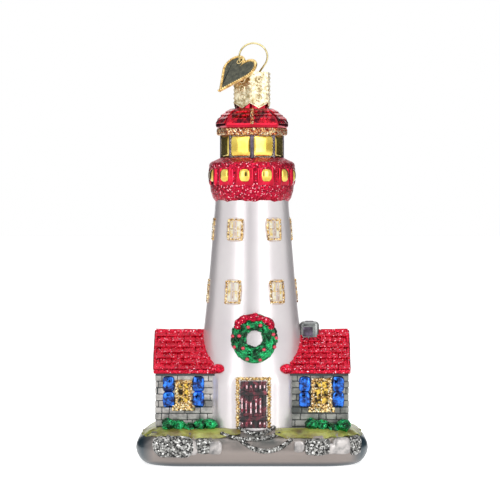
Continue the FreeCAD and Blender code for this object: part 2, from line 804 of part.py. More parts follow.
step_forms = []
for number, step in enumerate(("low_step", "middle_step", "top_step"), start=1):
    disc = doc.addObject("Part::Cylinder", f"{step}_disc")
    disc.Placement.Rotation = FreeCAD.Rotation(ALONG_X, 90)
    bind(disc, Radius=f"{step}_radius", Height="2 * base_half_depth")
    step_low = f"base_top - {step}_drop"
    bind(disc, Base_x="step_place", Base_z=f"{step_low} + {step}_radius")
    step_left = f"step_place - {step}_half_width"
    step_right = f"step_place + {step}_half_width"
    strip_front = "-2 * base_half_depth"
    strip = block(f"{step}_strip", step_left, step_right, strip_front, "0", step_low, "door_bottom")
    skin = base_form(f"{step}_skin", f"-{number} * step_relief", "0")
    step_forms.append(shared(f"{step}_form", disc, strip, skin))
door_steps = less("door_steps", fused("step_forms", *step_forms), painted_solid, door_frame, door_leaf)

# Wreath with berries and a bow

wreath_ring = doc.addObject("Part::Torus", "wreath_ring_form")
wreath_ring.Placement.Rotation = FreeCAD.Rotation(ALONG_X, 90)
tower_taper = "((drum_radius - knee_radius) / (knee_height - drum_top))"
wreath_front = f"(drum_radius - {tower_taper} * (wreath_height - drum_top))"
bind(wreath_ring, Radius1="wreath_ring", Radius2="wreath_thickness")
bind(wreath_ring, Base_x="wreath_place", Base_y=f"-{wreath_front}", Base_z="wreath_height")
wreath_form = shared("wreath_form", wreath_ring, tower_form("wreath_skin", "-wreath_relief"))
wreath = less("wreath", wreath_form, painted_solid)
berries = []
for number in range(12):
    ring = "berry_outer_ring" if number % 2 else "berry_inner_ring"
    berry = doc.addObject("Part::Sphere", f"berry{number}")
    across = f"(wreath_place + {ring} * cos({30 * number + 15}))"
    rise = f"({ring} * sin({30 * number + 15}))"
    bind(berry, Radius="berry_radius", Base_x=across, Base_z=f"wreath_height + {rise}")
    reach = f"({wreath_front} - {rise} * {tower_taper} + wreath_relief)"
    bind(berry, Base_y=f"-sqrt({reach}^2 - {across}^2)")
    berries.append(berry)
wreath_berries = less("wreath_berries", fused("berry_forms", *berries), wreath)


def draw_bow(sketch):
    """A ribbon draped over the top of the wreath, with two ends that hang down."""
    middle = "wreath_place"
    top = "wreath_height + wreath_ring + wreath_thickness + bow_band / 3"
    add_outline(sketch, [
        (f"{middle} - bow_half_width", f"{top} - bow_drop - bow_band"),
        (f"{middle} - bow_half_width / 3", f"{top} - bow_band"),
        (f"{middle} + bow_half_width / 3", f"{top} - bow_band"),
        (f"{middle} + bow_half_width", f"{top} - bow_drop - bow_band"),
        (f"{middle} + bow_half_width + bow_band / 2", f"{top} - bow_drop"),
        (f"{middle} + bow_half_width / 3", top),
        (f"{middle} - bow_half_width / 3", top),
        (f"{middle} - bow_half_width - bow_band / 2", f"{top} - bow_drop"),
    ])


bow_pad = padded_body("bow_pad", "XZ_Plane", draw_bow, "2 * drum_radius")
bow_form = shared("bow_form", bow_pad, tower_form("bow_skin", "-wreath_relief - bow_relief"))
wreath_bow = less("wreath_bow", bow_form, painted_solid, wreath, wreath_berries)

# Garden: turf, bushes and rocks, the same at the back as at the front

turf_ends = (("left", "-grass_outer", "-grass_inner"), ("right", "grass_inner", "grass_outer"))
turf_boxes = []
for side, left_end, right_end in turf_ends:
    turf_box = block(f"turf_{side}", left_end, right_end, "-base_half_depth", "base_half_depth",
                     "grass_bottom", "base_top + coat")
    turf_boxes.append(turf_box)
turf = shared("turf", fused("turf_zone", *turf_boxes), base_form("turf_skin", "-grass_relief", "0"))
grass = less("grass", turf, painted_solid, door_steps, door_frame)

bush_forms = []
for side, sign in sides:
    for number in range(round(size(f"{side}_bush_count"))):
        place = f"({number} - ({side}_bush_count - 1) / 2) * bush_step"
        for face, name in ((-1, "front"), (1, "back")):
            bush = doc.addObject("Part::Ellipsoid", f"{side}_bush{number}_{name}")
            bind(bush, Radius1=f"{side}_bush_radius * bush_flatness")
            bind(bush, Radius2=f"{side}_bush_radius", Radius3=f"{side}_bush_radius")
            bind(bush, Base_x=f"{sign} * {side}_bush_place + {place}", Base_y=f"{face} * bush_depth")
            bush_forms.append(bind(bush, Base_z="bush_height"))
bushes = less("bushes", fused("bush_forms", *bush_forms), painted_solid, grass, cottage_window_frames,
              cottage_shutters)

ROCKS = (
    ("left_wide_rock", -1),
    ("left_round_rock", -1),
    ("left_inner_rock", -1),
    ("right_inner_rock", 1),
    ("right_wide_rock", 1),
    ("right_pale_rock", 1),
    ("right_end_rock", 1),
)
rock_pads = []
for name, sign in ROCKS:
    middle = f"({sign} * (base_half_length - {name}))"

    def draw_rock(sketch):
        left = f"{middle} - {name}_half_width"
        right = f"{middle} + {name}_half_width"
        low = f"rock_height - {name}_half_height"
        high = f"rock_height + {name}_half_height"
        add_rounded_rectangle(sketch, left, right, low, high, "rock_corner")
    rock_pads.append(padded_body(name, "XZ_Plane", draw_rock, "3 * base_half_depth", both_ways=True))
rock_skin = base_form("rock_skin", "-rock_relief", "0")
rock_solids = shared("rock_solids", fused("rock_pads", *rock_pads), rock_skin)
base_rocks = less("base_rocks", rock_solids, painted_solid, door_steps, grass)

# Cap: a stamped six-sided crown with a pointed lower edge and two holes for the wire

cap_bottom = "(shoulder_height + cap_seat_gap)"
cap_top = f"({cap_bottom} + cap_height)"
cap_outside = doc.addObject("Part::Prism", "cap_outside")
cap_outside.Polygon = 6
bind(cap_outside, Circumradius="cap_radius", Height="cap_height", Base_z=cap_bottom)
cap_inside = doc.addObject("Part::Prism", "cap_inside")
cap_inside.Polygon = 6
bind(cap_inside, Circumradius="cap_radius - cap_wall / cos(30)", Height="cap_height - cap_wall")
bind(cap_inside, Base_z=cap_bottom)
for shell in (cap_outside, cap_inside):
    turned_round(shell, "cap_turn")


def draw_notch(sketch):
    add_outline(sketch, [
        ("-cap_radius / 2", f"{cap_bottom} - coat"),
        ("cap_radius / 2", f"{cap_bottom} - coat"),
        ("0", f"{cap_bottom} + cap_point"),
    ])


notch = padded_body("cap_notches", "XZ_Plane", draw_notch, "2 * cap_radius")
notches = turned_round(patterned(notch, "6"), "cap_turn + 30")
hole_spread = "(loop_radius * cos(leg_angle) - (loop_rise - loop_radius * sin(leg_angle)) * tan(leg_angle))"
wire_holes = []
for name, sign in (("left", -1), ("right", 1)):
    low = f"{cap_top} - 2 * cap_wall"
    hole = cylinder(f"wire_hole_{name}", "wire_radius + wire_fit", low, f"{cap_top} + cap_wall")
    wire_holes.append(bind(hole, Base_x=f"loop_place + {sign} * {hole_spread}"))
crown_cap = less("crown_cap", cap_outside, cap_inside, notches, *wire_holes)

# Wire loop: one bent wire, drawn along straight runs joined by arcs


def between(start, end, distance):
    """The point at a distance from start on the way to end."""
    return start + (end - start).normalize() * distance


def rounded_corner(before, corner, after, radius):
    """The two tangent points and the middle of an arc that rounds a corner."""
    turn = math.pi - (before - corner).getAngle(after - corner)
    cut = radius * math.tan(turn / 2)
    start = between(corner, before, cut)
    end = between(corner, after, cut)
    bisector = ((before - corner).normalize() + (after - corner).normalize()).normalize()
    return start, corner + bisector * (radius / math.cos(turn / 2) - radius), end


cap_height_now = size(cap_top)
lean = math.radians(size("loop_lean"))
leg_angle = math.radians(size("leg_angle"))
radius_now = size("loop_radius")
rise_now = size("loop_rise")
loop_up = FreeCAD.Vector(0, -math.sin(lean), math.cos(lean))
loop_foot = FreeCAD.Vector(size("loop_place"), 0, cap_height_now)
loop_centre = loop_foot + loop_up * rise_now


def on_loop(angle):
    """The point of the loop's circle at an angle from +X towards the loop's top."""
    return loop_centre + (ALONG_X * math.cos(angle) + loop_up * math.sin(angle)) * radius_now


def leg_points(sign):
    """Corners of one leg, from its end inside the neck to where it joins the circle."""
    joint = on_loop(-leg_angle if sign > 0 else math.pi + leg_angle)
    run = (rise_now - radius_now * math.sin(leg_angle)) * math.tan(leg_angle)
    hole = loop_foot + ALONG_X * (sign * (radius_now * math.cos(leg_angle) - run))
    bore = size("neck_radius - glass_wall - silver_film - wire_radius - wire_fit")
    straight_end = hole - UP * size("leg_straight")
    leg_end = FreeCAD.Vector(sign * bore, 0, cap_height_now - size("leg_length"))
    return [leg_end, straight_end, hole, joint]


def leg_edges(points, radius):
    """Straight runs and arcs through the corners of one leg."""
    edges = []
    start = points[0]
    for before, corner, after in zip(points, points[1:], points[2:]):
        arc_start, arc_middle, arc_end = rounded_corner(before, corner, after, radius)
        edges.append(Part.LineSegment(start, arc_start).toShape())
        edges.append(Part.Arc(arc_start, arc_middle, arc_end).toShape())
        start = arc_end
    edges.append(Part.LineSegment(start, points[-1]).toShape())
    return edges


left_points = leg_points(-1)
right_points = leg_points(1)
left_edges = leg_edges(left_points, size("wire_bend"))
right_edges = leg_edges(right_points, size("wire_bend"))
circle_edges = [
    Part.Arc(left_points[-1], on_loop(math.radians(150)), on_loop(math.pi / 2)).toShape(),
    Part.Arc(on_loop(math.pi / 2), on_loop(math.radians(30)), right_points[-1]).toShape(),
]
wire_path = Part.Wire(Part.__sortEdges__(left_edges + circle_edges + right_edges))
wire_start = left_points[0]
wire_circle = Part.Circle(wire_start, left_points[1] - wire_start, size("wire_radius"))
wire_section = Part.Wire(wire_circle.toShape())
hanger_wire = doc.addObject("Part::Feature", "hanger_wire")
hanger_wire.Shape = wire_path.makePipeShell([wire_section], True, False)
hanger_wire.Placement = FreeCAD.Placement()
print(f"wire volume {hanger_wire.Shape.Volume:.3f}, section times length "
      f"{math.pi * size('wire_radius')**2 * wire_path.Length:.3f}, length {wire_path.Length:.2f}")

# Heart tag: drawn flat with its point at the origin, then hung by its hole on the loop


def heart(label, inset, bottom, top):
    """Two round lobes and the straight flanks that run from them to the point."""
    radius = f"(tag_lobe_radius - ({inset}))"
    slope = "sqrt(tag_lobe_place^2 + tag_lobe_height^2)"
    spread = f"(atan(tag_lobe_place / tag_lobe_height) + asin(tag_lobe_radius / {slope}))"
    point = f"(({inset}) / sin{spread})"
    reach = "sqrt(tag_lobe_place^2 + tag_lobe_height^2 - tag_lobe_radius^2)"
    touch_x = f"({reach} * sin{spread} - ({inset}) * cos{spread})"
    touch_y = f"({reach} * cos{spread} + ({inset}) * sin{spread})"
    corners = [("0", point), (touch_x, touch_y), ("0", "tag_lobe_height"), (f"-{touch_x}", touch_y)]

    def draw(sketch):
        add_outline(sketch, corners)
    flanks = padded_body(f"{label}_flanks", "XY_Plane", draw, f"({top}) - ({bottom})")
    bind(flanks, Base_z=bottom)
    lobes = []
    for name, sign in (("left", -1), ("right", 1)):
        lobe = cylinder(f"{label}_{name}_lobe", radius, bottom, top)
        lobes.append(bind(lobe, Base_x=f"{sign} * tag_lobe_place", Base_y="tag_lobe_height"))
    return fused(label, flanks, *lobes)


tag_hole = cylinder("tag_hole", "tag_hole_radius", "-tag_thickness", "tag_thickness")
bind(tag_hole, Base_x="-tag_hole_place", Base_y="tag_hole_height")
tag_plate = heart("tag_plate", "0", "-tag_thickness / 2", "tag_thickness / 2")
tag_field = heart("tag_field", "tag_rim", "tag_thickness / 2 - tag_recess", "tag_thickness")
heart_tag = less("heart_tag", tag_plate, tag_field, tag_hole)
lean_left = size("tag_lean_left")
lean_back = size("tag_lean_back")
point_angle = math.radians(size("tag_point_angle"))
point_left = -math.cos(point_angle)
point_down = -math.sin(point_angle)
tag_face = FreeCAD.Vector(-lean_left, -1.0, lean_back).normalize()
tag_fall = lean_back * point_down - lean_left * point_left
tag_down = FreeCAD.Vector(point_left, tag_fall, point_down).normalize()
tag_turn = FreeCAD.Rotation(tag_face.cross(tag_down), tag_down * -1, tag_face, "ZYX")
hole_place = on_loop(math.radians(size("tag_loop_angle")))
tag_hole_flat = FreeCAD.Vector(size("-tag_hole_place"), size("tag_hole_height"), 0)
heart_tag.Placement = FreeCAD.Placement(hole_place - tag_turn.multVec(tag_hole_flat), tag_turn)

# Finished sub-parts

PARTS = [
    glass_shell, silver_lining, tower_pearl_coat, tower_window_frames, tower_window_panes, gallery_red_coat,
    gallery_windows, lantern_panes, lantern_corner_bars, lantern_roof_coat, lantern_roof_trim,
    cottage_walls["left"], cottage_walls["right"], cottage_roofs["left"], cottage_roofs["right"], chimney,
    cottage_window_frames, cottage_window_panes, cottage_shutters, door_leaf, door_frame, door_steps,
    wreath, wreath_berries, wreath_bow, base_coat, base_rocks, grass, bushes,
    crown_cap, hanger_wire, heart_tag,
]

doc.recompute()
faults = [item.Label for item in doc.Objects if {"Invalid", "Error"} & set(item.State)]
for item in PARTS:
    if item.Shape.isNull() or not item.Shape.isValid() or not item.Shape.Solids:
        faults.append(item.Label)
if faults:
    raise RuntimeError("These objects failed: " + ", ".join(faults))

os.makedirs("parts", exist_ok=True)
for item in PARTS:
    item.Shape.exportStep(f"parts/{item.Label}.step")
    print(f"{item.Label}: {len(item.Shape.Solids)} solids, {item.Shape.Volume:.2f} mm3")
box = Part.makeCompound([item.Shape for item in PARTS]).BoundBox
print(f"overall {box.XMin:.2f} {box.YMin:.2f} {box.ZMin:.2f} to {box.XMax:.2f} {box.YMax:.2f} {box.ZMax:.2f}")
print("tag hole at", hole_place, "facing", tag_face)
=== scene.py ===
import math
import random

import bmesh
import bpy
from mathutils import Matrix, Vector, noise
from mathutils.bvhtree import BVHTree


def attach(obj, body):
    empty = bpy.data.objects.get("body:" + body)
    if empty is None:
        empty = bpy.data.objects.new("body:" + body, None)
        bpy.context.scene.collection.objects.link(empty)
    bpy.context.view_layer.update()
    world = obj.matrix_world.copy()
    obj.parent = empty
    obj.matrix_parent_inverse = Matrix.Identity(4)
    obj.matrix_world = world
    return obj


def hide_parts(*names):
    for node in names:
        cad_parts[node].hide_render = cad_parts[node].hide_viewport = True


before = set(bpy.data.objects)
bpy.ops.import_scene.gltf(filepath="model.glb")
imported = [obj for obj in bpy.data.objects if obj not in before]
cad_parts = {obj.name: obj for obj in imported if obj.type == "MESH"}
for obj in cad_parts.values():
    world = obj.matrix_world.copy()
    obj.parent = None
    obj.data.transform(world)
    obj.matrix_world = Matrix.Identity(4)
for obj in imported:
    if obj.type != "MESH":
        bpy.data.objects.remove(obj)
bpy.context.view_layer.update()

# ---------------------------------------------------------------------------------------------
# Blown body: one piece of thin clear glass, blown into a hinged mould. A silvering liquid is
# swilled round inside it, so that it looks like a mirror wherever the lacquer is thin.

def finish(name, colour, roughness, metallic=0.0, coat=0.0):
    """A material with one principled shader, and the constant values on its sockets."""
    made = bpy.data.materials.new(name)
    made.use_nodes = True
    shader = made.node_tree.nodes["Principled BSDF"]
    for socket, value in (("Base Color", (*colour, 1)), ("Roughness", roughness), ("Metallic", metallic),
                          ("Coat Weight", coat), ("Coat Roughness", 0.08)):
        shader.inputs[socket].default_value = value
    return made, shader


def add_node(tree, kind, inputs=None, **settings):
    """A node with its settings, and each input either linked to a socket or given a value."""
    made = tree.nodes.new(kind)
    for key, value in settings.items():
        setattr(made, key, value)
    for key, value in (inputs or {}).items():
        if isinstance(value, bpy.types.NodeSocket):
            tree.links.new(value, made.inputs[key])
        else:
            made.inputs[key].default_value = value
    return made


def mapped(tree, value, low, high, to_low=0.0, to_high=1.0):
    """A mask stretched from one range of values to another."""
    return add_node(tree, "ShaderNodeMapRange", {"Value": value, "From Min": low, "From Max": high,
                                                 "To Min": to_low, "To Max": to_high}).outputs["Result"]


def reckon(tree, operation, *values):
    """One step of arithmetic on masks."""
    return add_node(tree, "ShaderNodeMath", dict(enumerate(values)), operation=operation).outputs[0]


def blend_colours(tree, mask, low, high):
    """A colour that runs from low to high as the mask goes from 0 to 1."""
    ramp = add_node(tree, "ShaderNodeValToRGB", {"Fac": mask})
    ramp.color_ramp.elements[0].color = (*low, 1)
    ramp.color_ramp.elements[1].color = (*high, 1)
    return ramp.outputs["Color"]


def new_group(name, amounts, mask):
    """A shared effect on Object coordinates that takes amounts and gives a mask and a normal."""
    group = bpy.data.node_groups.new(name, "ShaderNodeTree")
    for amount in amounts:
        group.interface.new_socket(amount, in_out="INPUT", socket_type="NodeSocketFloat")
    group.interface.new_socket(mask, in_out="OUTPUT", socket_type="NodeSocketFloat")
    group.interface.new_socket("Normal", in_out="OUTPUT", socket_type="NodeSocketVector")
    return (group, group.nodes.new("NodeGroupInput").outputs, group.nodes.new("NodeGroupOutput").inputs,
            group.nodes.new("ShaderNodeTexCoord").outputs["Object"])


# Uneven hand-brushed lacquer: a slow mask for its depth, and a faint ripple for its surface.
brushed, entry, leave, place = new_group("brushed lacquer", ("Patch Scale", "Ripple"), "Depth")
patches = add_node(brushed, "ShaderNodeTexNoise",
                   {"Vector": place, "Scale": entry["Patch Scale"], "Detail": 4.0, "Roughness": 0.6})
ripple = add_node(brushed, "ShaderNodeTexNoise", {"Vector": place, "Scale": 420.0, "Detail": 2.0})
bump = add_node(brushed, "ShaderNodeBump",
                {"Height": ripple.outputs["Fac"], "Strength": entry["Ripple"], "Distance": 0.0003})
brushed.links.new(patches.outputs["Fac"], leave["Depth"])
brushed.links.new(bump.outputs["Normal"], leave["Normal"])


def brush_on(tree, shader, patch_scale, ripple):
    """Give a shader the brushed ripple, and give back the mask of the lacquer's depth."""
    brush = add_node(tree, "ShaderNodeGroup", {"Patch Scale": patch_scale, "Ripple": ripple},
                     node_tree=brushed)
    tree.links.new(brush.outputs["Normal"], shader.inputs["Normal"])
    return brush.outputs["Depth"]


def lacquer(name, deep, thin, roughness, metallic, coat=0.6, patch_scale=90.0, ripple=0.12,
            spread=(0.35, 0.68)):
    """Lacquer over silver: deeper and thinner patches of one colour under a clear gloss."""
    made, shader = finish(name, deep, roughness, metallic, coat)
    tree = made.node_tree
    depth = mapped(tree, brush_on(tree, shader, patch_scale, ripple), *spread)
    tree.links.new(blend_colours(tree, depth, deep, thin), shader.inputs["Base Color"])
    return made


def dress(node, material):
    """Give a CAD node its finish."""
    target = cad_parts[node]
    target.data.materials.clear()
    target.data.materials.append(material)


clear_glass, shader = finish("clear blown glass", (0.93, 0.95, 0.96), 0.02)
shader.inputs["Transmission Weight"].default_value = 1.0
shader.inputs["IOR"].default_value = 1.5
tree = clear_glass.node_tree
waves = add_node(tree, "ShaderNodeTexNoise", {"Vector": add_node(tree, "ShaderNodeTexCoord").outputs["Object"],
                                              "Scale": 160.0, "Detail": 2.0})
bump = add_node(tree, "ShaderNodeBump", {"Height": waves.outputs["Fac"], "Strength": 0.08, "Distance": 0.0004})
tree.links.new(bump.outputs["Normal"], shader.inputs["Normal"])
dress("glass_shell", clear_glass)
dress("silver_lining", lacquer("silver mirror film", (0.80, 0.80, 0.82), (0.92, 0.92, 0.93), 0.06, 1.0,
                               coat=0.0, ripple=0.04))

# ---------------------------------------------------------------------------------------------
# Tower: the straight blown walls, dipped in satin pearl lacquer. It swells to a drum at the foot,
# tapers in two stages, and goes up under the gallery.

def as_object(name, shape, material):
    """An object from a bmesh, in its material."""
    mesh = bpy.data.meshes.new(name)
    shape.to_mesh(mesh)
    shape.free()
    mesh.materials.append(material)
    made = bpy.data.objects.new(name, mesh)
    bpy.context.scene.collection.objects.link(made)
    return made


def settle(name, shape, material, stands_for=None, sharp=35.0, edge=None, body="glass"):
    """Make a piece from a bmesh drawn in millimetres: normals out, smooth, riding on its body.

    An edge is a live bevel, with its width in metres and its segments."""
    bmesh.ops.remove_doubles(shape, verts=shape.verts, dist=0.0008)
    bmesh.ops.recalc_face_normals(shape, faces=shape.faces)
    bmesh.ops.scale(shape, vec=(0.001, 0.001, 0.001), verts=shape.verts)
    made = as_object(name, shape, material)
    made.data.shade_smooth()
    made.data.set_sharp_from_angle(angle=math.radians(sharp))
    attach(made, body)
    if stands_for:
        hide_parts(stands_for)
    if edge:
        bevel = made.modifiers.new("edges", "BEVEL")
        bevel.width, bevel.segments = edge
        bevel.limit_method = "ANGLE"
        bevel.angle_limit = math.radians(30)


def spin_round(shape, geom, steps, axis=(0, 0, 1)):
    """Spin an outline a full turn round the origin."""
    bmesh.ops.spin(shape, geom=geom, cent=(0, 0, 0), axis=axis, dvec=(0, 0, 0), angle=math.tau,
                   steps=steps, use_merge=True)


def spun(profile, steps):
    """A closed ring turned from a closed outline of radii and heights."""
    shape = bmesh.new()
    points = [shape.verts.new((radius, 0, height)) for radius, height in profile]
    edges = [shape.edges.new((points[i - 1], points[i])) for i in range(len(points))]
    spin_round(shape, points + edges, steps)
    return shape


def read_off(profile, height):
    """A value from a list of heights and values, straight between them."""
    for (low, start), (high, end) in zip(profile, profile[1:]):
        if height <= high:
            return start + (end - start) * (height - low) / (high - low)
    return profile[-1][1]


def held(value):
    """A value held between 0 and 1."""
    return max(0.0, min(1.0, value))


TOWER = ((7.2, 15.8), (26.0, 15.8), (28.5, 15.66), (31.0, 15.35), (41.0, 14.2), (48.0, 13.42), (51.2, 13.12),
         (55.0, 12.76), (65.0, 11.92), (76.5, 10.95), (78.4, 10.9))
COAT = 0.2
heights = [7.2 + 0.9 * step for step in range(80)]
tower_outline = [(read_off(TOWER, height), height) for height in heights]
tower_outline += [(read_off(TOWER, height) - COAT, height) for height in reversed(heights[::4])]
tower = spun(tower_outline, 192)
for vert in tower.verts:
    swell = noise.noise(vert.co * 0.045 + Vector((3.1, 0.4, 7.7))) * 0.1
    around = math.degrees(math.atan2(vert.co.x, -vert.co.y))
    fold = 0
    for middle in (-30, 35.5):
        fold += 0.42 * held(1 - (abs(around - middle) / 12) ** 4) * held((26.8 - vert.co.z) / 2.2)
    vert.co.xy *= 1 + (0.12 + 0.5 * swell + fold) / 14
pearl = lacquer("satin pearl lacquer", (0.74, 0.69, 0.71), (0.84, 0.80, 0.80), 0.34, 0.45, coat=0.12,
                patch_scale=38.0, ripple=0.05)
settle("tower_pearl", tower, pearl, "tower_pearl_coat")

# ---------------------------------------------------------------------------------------------
# Tower windows: blown in relief, six round each row. The frame is a ring of adhesive dusted with
# gold glitter, and the lights are bare yellow lacquer over the silver, with a thin cross bar.

# Glitter: every grain has its own shade and its own tilt.
grains, entry, leave, place = new_group("glitter grains", ("Grains", "Tilt"), "Shade")
cells = add_node(grains, "ShaderNodeTexVoronoi", {"Vector": place, "Scale": entry["Grains"]}).outputs["Color"]
parts = add_node(grains, "ShaderNodeSeparateColor", {"Color": cells})
centred = add_node(grains, "ShaderNodeVectorMath", {0: cells, 1: (0.5, 0.5, 0.5)}, operation="SUBTRACT")
tilted = add_node(grains, "ShaderNodeVectorMath", {0: centred.outputs["Vector"], "Scale": entry["Tilt"]},
                  operation="SCALE")
surface = add_node(grains, "ShaderNodeNewGeometry").outputs["Normal"]
leaned = add_node(grains, "ShaderNodeVectorMath", {0: tilted.outputs["Vector"], 1: surface}, operation="ADD")
facing = add_node(grains, "ShaderNodeVectorMath", {0: leaned.outputs["Vector"]}, operation="NORMALIZE")
grains.links.new(parts.outputs["Red"], leave["Shade"])
grains.links.new(facing.outputs["Vector"], leave["Normal"])


def glitter(name, colours, metallic=0.75, roughness=0.32, grain=2700.0, tilt=1.5, shares=(0.26, 0.6, 0.86)):
    """Glitter in four colours, from the shaded grains to the sparkling ones."""
    made, shader = finish(name, colours[1], roughness, metallic)
    tree = made.node_tree
    dust = add_node(tree, "ShaderNodeGroup", {"Grains": grain, "Tilt": tilt}, node_tree=grains)
    ramp = add_node(tree, "ShaderNodeValToRGB", {"Fac": dust.outputs["Shade"]})
    stops = ramp.color_ramp.elements
    ramp.color_ramp.interpolation = "CONSTANT"
    stops[0].color = (*colours[0], 1)
    for share, colour in zip(shares, colours[1:]):
        stops.new(share).color = (*colour, 1)
    stops.remove(stops[-1])
    tree.links.new(ramp.outputs["Color"], shader.inputs["Base Color"])
    tree.links.new(dust.outputs["Normal"], shader.inputs["Normal"])
    return made


def at(*place):
    """A move to a place in millimetres."""
    return Matrix.Translation(place)


def sized(*factors):
    """A stretch along X, Y and Z."""
    return Matrix.Diagonal((*factors, 1))


def rotated(degrees, axis):
    """A turn round an axis."""
    return Matrix.Rotation(math.radians(degrees), 4, axis)


def facing_out(angle, radius, height, lean=0.0):
    """A place on the tower: local X runs round it, -Y points out and Z up."""
    return rotated(angle, "Z") @ at(0, -radius, height) @ rotated(lean, "X")


def push_out(shape, faces, way):
    """Give faces a thickness."""
    raised = bmesh.ops.extrude_face_region(shape, geom=faces)["geom"]
    moved = [item for item in raised if isinstance(item, bmesh.types.BMVert)]
    bmesh.ops.translate(shape, vec=way, verts=moved)


def add_frame(shape, width, height, border, relief, matrix):
    """A raised picture-frame ring, open in the middle."""
    kept = set(shape.verts)
    made = bmesh.ops.create_grid(shape, x_segments=1, y_segments=1, size=0.5)["verts"]
    bmesh.ops.transform(shape, matrix=rotated(90, "X") @ sized(width, height, 1), verts=made)
    face = made[0].link_faces[0]
    ring = bmesh.ops.inset_region(shape, faces=[face], thickness=border, depth=0, use_boundary=True)["faces"]
    bmesh.ops.delete(shape, geom=[face], context="FACES")
    push_out(shape, ring, (0, -relief, 0))
    bmesh.ops.transform(shape, matrix=matrix, verts=[vert for vert in shape.verts if vert not in kept])


def add_block(shape, size, matrix, tone=0.5):
    """A block of a size in millimetres, with one shade for all its corners."""
    layer = shape.verts.layers.float.get("tone")
    for vert in bmesh.ops.create_cube(shape, size=1, matrix=matrix @ sized(*size))["verts"]:
        if layer:
            vert[layer] = tone


def add_ball(shape, detail, matrix=Matrix(), radius=1.0):
    """A ball of little triangles."""
    made = bmesh.ops.create_icosphere(shape, subdivisions=detail, radius=radius)["verts"]
    bmesh.ops.transform(shape, matrix=matrix, verts=made)
    return made


def squarer(value, power):
    """A coordinate of a round form, pushed out towards a box."""
    return math.copysign(abs(value) ** power, value)


def add_pillow(shape, segments, rings, matrix=Matrix(), power_x=1.0, power_z=1.0):
    """A ball that is more of a box along X and Z, the smaller its powers are."""
    made = bmesh.ops.create_uvsphere(shape, u_segments=segments, v_segments=rings, radius=1)["verts"]
    for vert in made:
        vert.co.x, vert.co.z = squarer(vert.co.x, power_x), squarer(vert.co.z, power_z)
    bmesh.ops.transform(shape, matrix=matrix, verts=made)
    return made


def add_beads(shape, width, height, matrix, size, pitch):
    """Crumbs of glitter paste set round an upright oblong."""
    turns = ((-1, -1), (1, -1), (1, 1), (-1, 1), (-1, -1))
    for (left, low), (right, high) in zip(turns, turns[1:]):
        start = Vector((left * width / 2, 0, low * height / 2))
        end = Vector((right * width / 2, 0, high * height / 2))
        count = max(2, round((end - start).length / pitch))
        for number in range(count):
            spot = start.lerp(end, number / count)
            spot += Vector((dice.uniform(-0.12, 0.12), 0, dice.uniform(-0.12, 0.12)))
            add_ball(shape, 2, matrix @ at(*spot), size * dice.uniform(0.85, 1.15))


gold_dust = glitter("gold glitter", ((0.34, 0.17, 0.05), (0.74, 0.48, 0.18), (0.93, 0.74, 0.38),
                                     (1.0, 0.95, 0.78)))
yellow_glaze = lacquer("yellow lacquer on silver", (0.95, 0.66, 0.12), (1.0, 0.97, 0.80), 0.22, 0.1,
                       patch_scale=620.0, ripple=0.3, spread=(0.38, 0.56))
# Beige halo paint: partly real glitter paste, partly a painted shadow round the window frames.
halo_paint_and_shadow = lacquer("beige glitter halo and painted shadow", (0.66, 0.53, 0.47), (0.80, 0.74, 0.72), 0.4, 0.2, coat=0.2,
                patch_scale=400.0)
FIRST_WINDOW = 34.5
WINDOW_ROWS = ((47.7, 6.9), (66.4, 6.4))
WINDOW_WIDE, BORDER = 4.7, 0.7
dice = random.Random(3)
frames = bmesh.new()
lights = bmesh.new()
halo_and_shadow_ring = bmesh.new()
for bottom, tall in WINDOW_ROWS:
    middle = bottom + tall / 2
    light = tall - 1.6
    lean = math.degrees(math.atan((read_off(TOWER, bottom) - read_off(TOWER, bottom + tall)) / tall))
    for number in range(6):
        place = facing_out(FIRST_WINDOW + 60 * number, read_off(TOWER, middle) - 0.12, middle, -lean)
        add_frame(frames, WINDOW_WIDE, tall - 0.4, BORDER, 0.34, place)
        add_beads(frames, WINDOW_WIDE - 0.25, tall - 0.65, place @ at(0, -0.1, 0), 0.4, 0.66)
        # Beige halo round each frame: partly the real glitter paste, partly a painted shadow that the frame
        # casts.
        for vert in add_pillow(halo_and_shadow_ring, 32, 20):
            flat_x, flat_z = squarer(vert.co.x, 0.5), squarer(vert.co.z, 0.5)
            vert.co = place @ Vector((2.95 * flat_x, 0.12 * vert.co.y - 0.27 + 0.36 * flat_x**2,
                                      (tall / 2 + 0.4) * flat_z))
        add_block(frames, (0.3, 0.5, light), place @ at(0.1, -0.16, 0))
        add_block(frames, (3.4, 0.5, 0.3), place @ at(0, -0.16, 0.2))
        for across in (-0.85, 0.85):
            for rise in (-1, 1):
                add_block(lights, (1.6, 0.5, light / 2), place @ at(across, -0.1, rise * light / 4 + 0.1))
settle("tower_window_frames_gold", frames, gold_dust, "tower_window_frames", edge=(0.00022, 3))
settle("tower_window_halo_and_shadow", halo_and_shadow_ring, halo_paint_and_shadow, "tower_window_frames", 60)
settle("tower_window_lights", lights, yellow_glaze, "tower_window_panes", edge=(0.0002, 3))

# ---------------------------------------------------------------------------------------------
# Gallery: a blown collar under the lantern. Its skirt and deck are dusted with red glitter, and
# twelve rounded panels of bare red lacquer between them carry a gold window each.

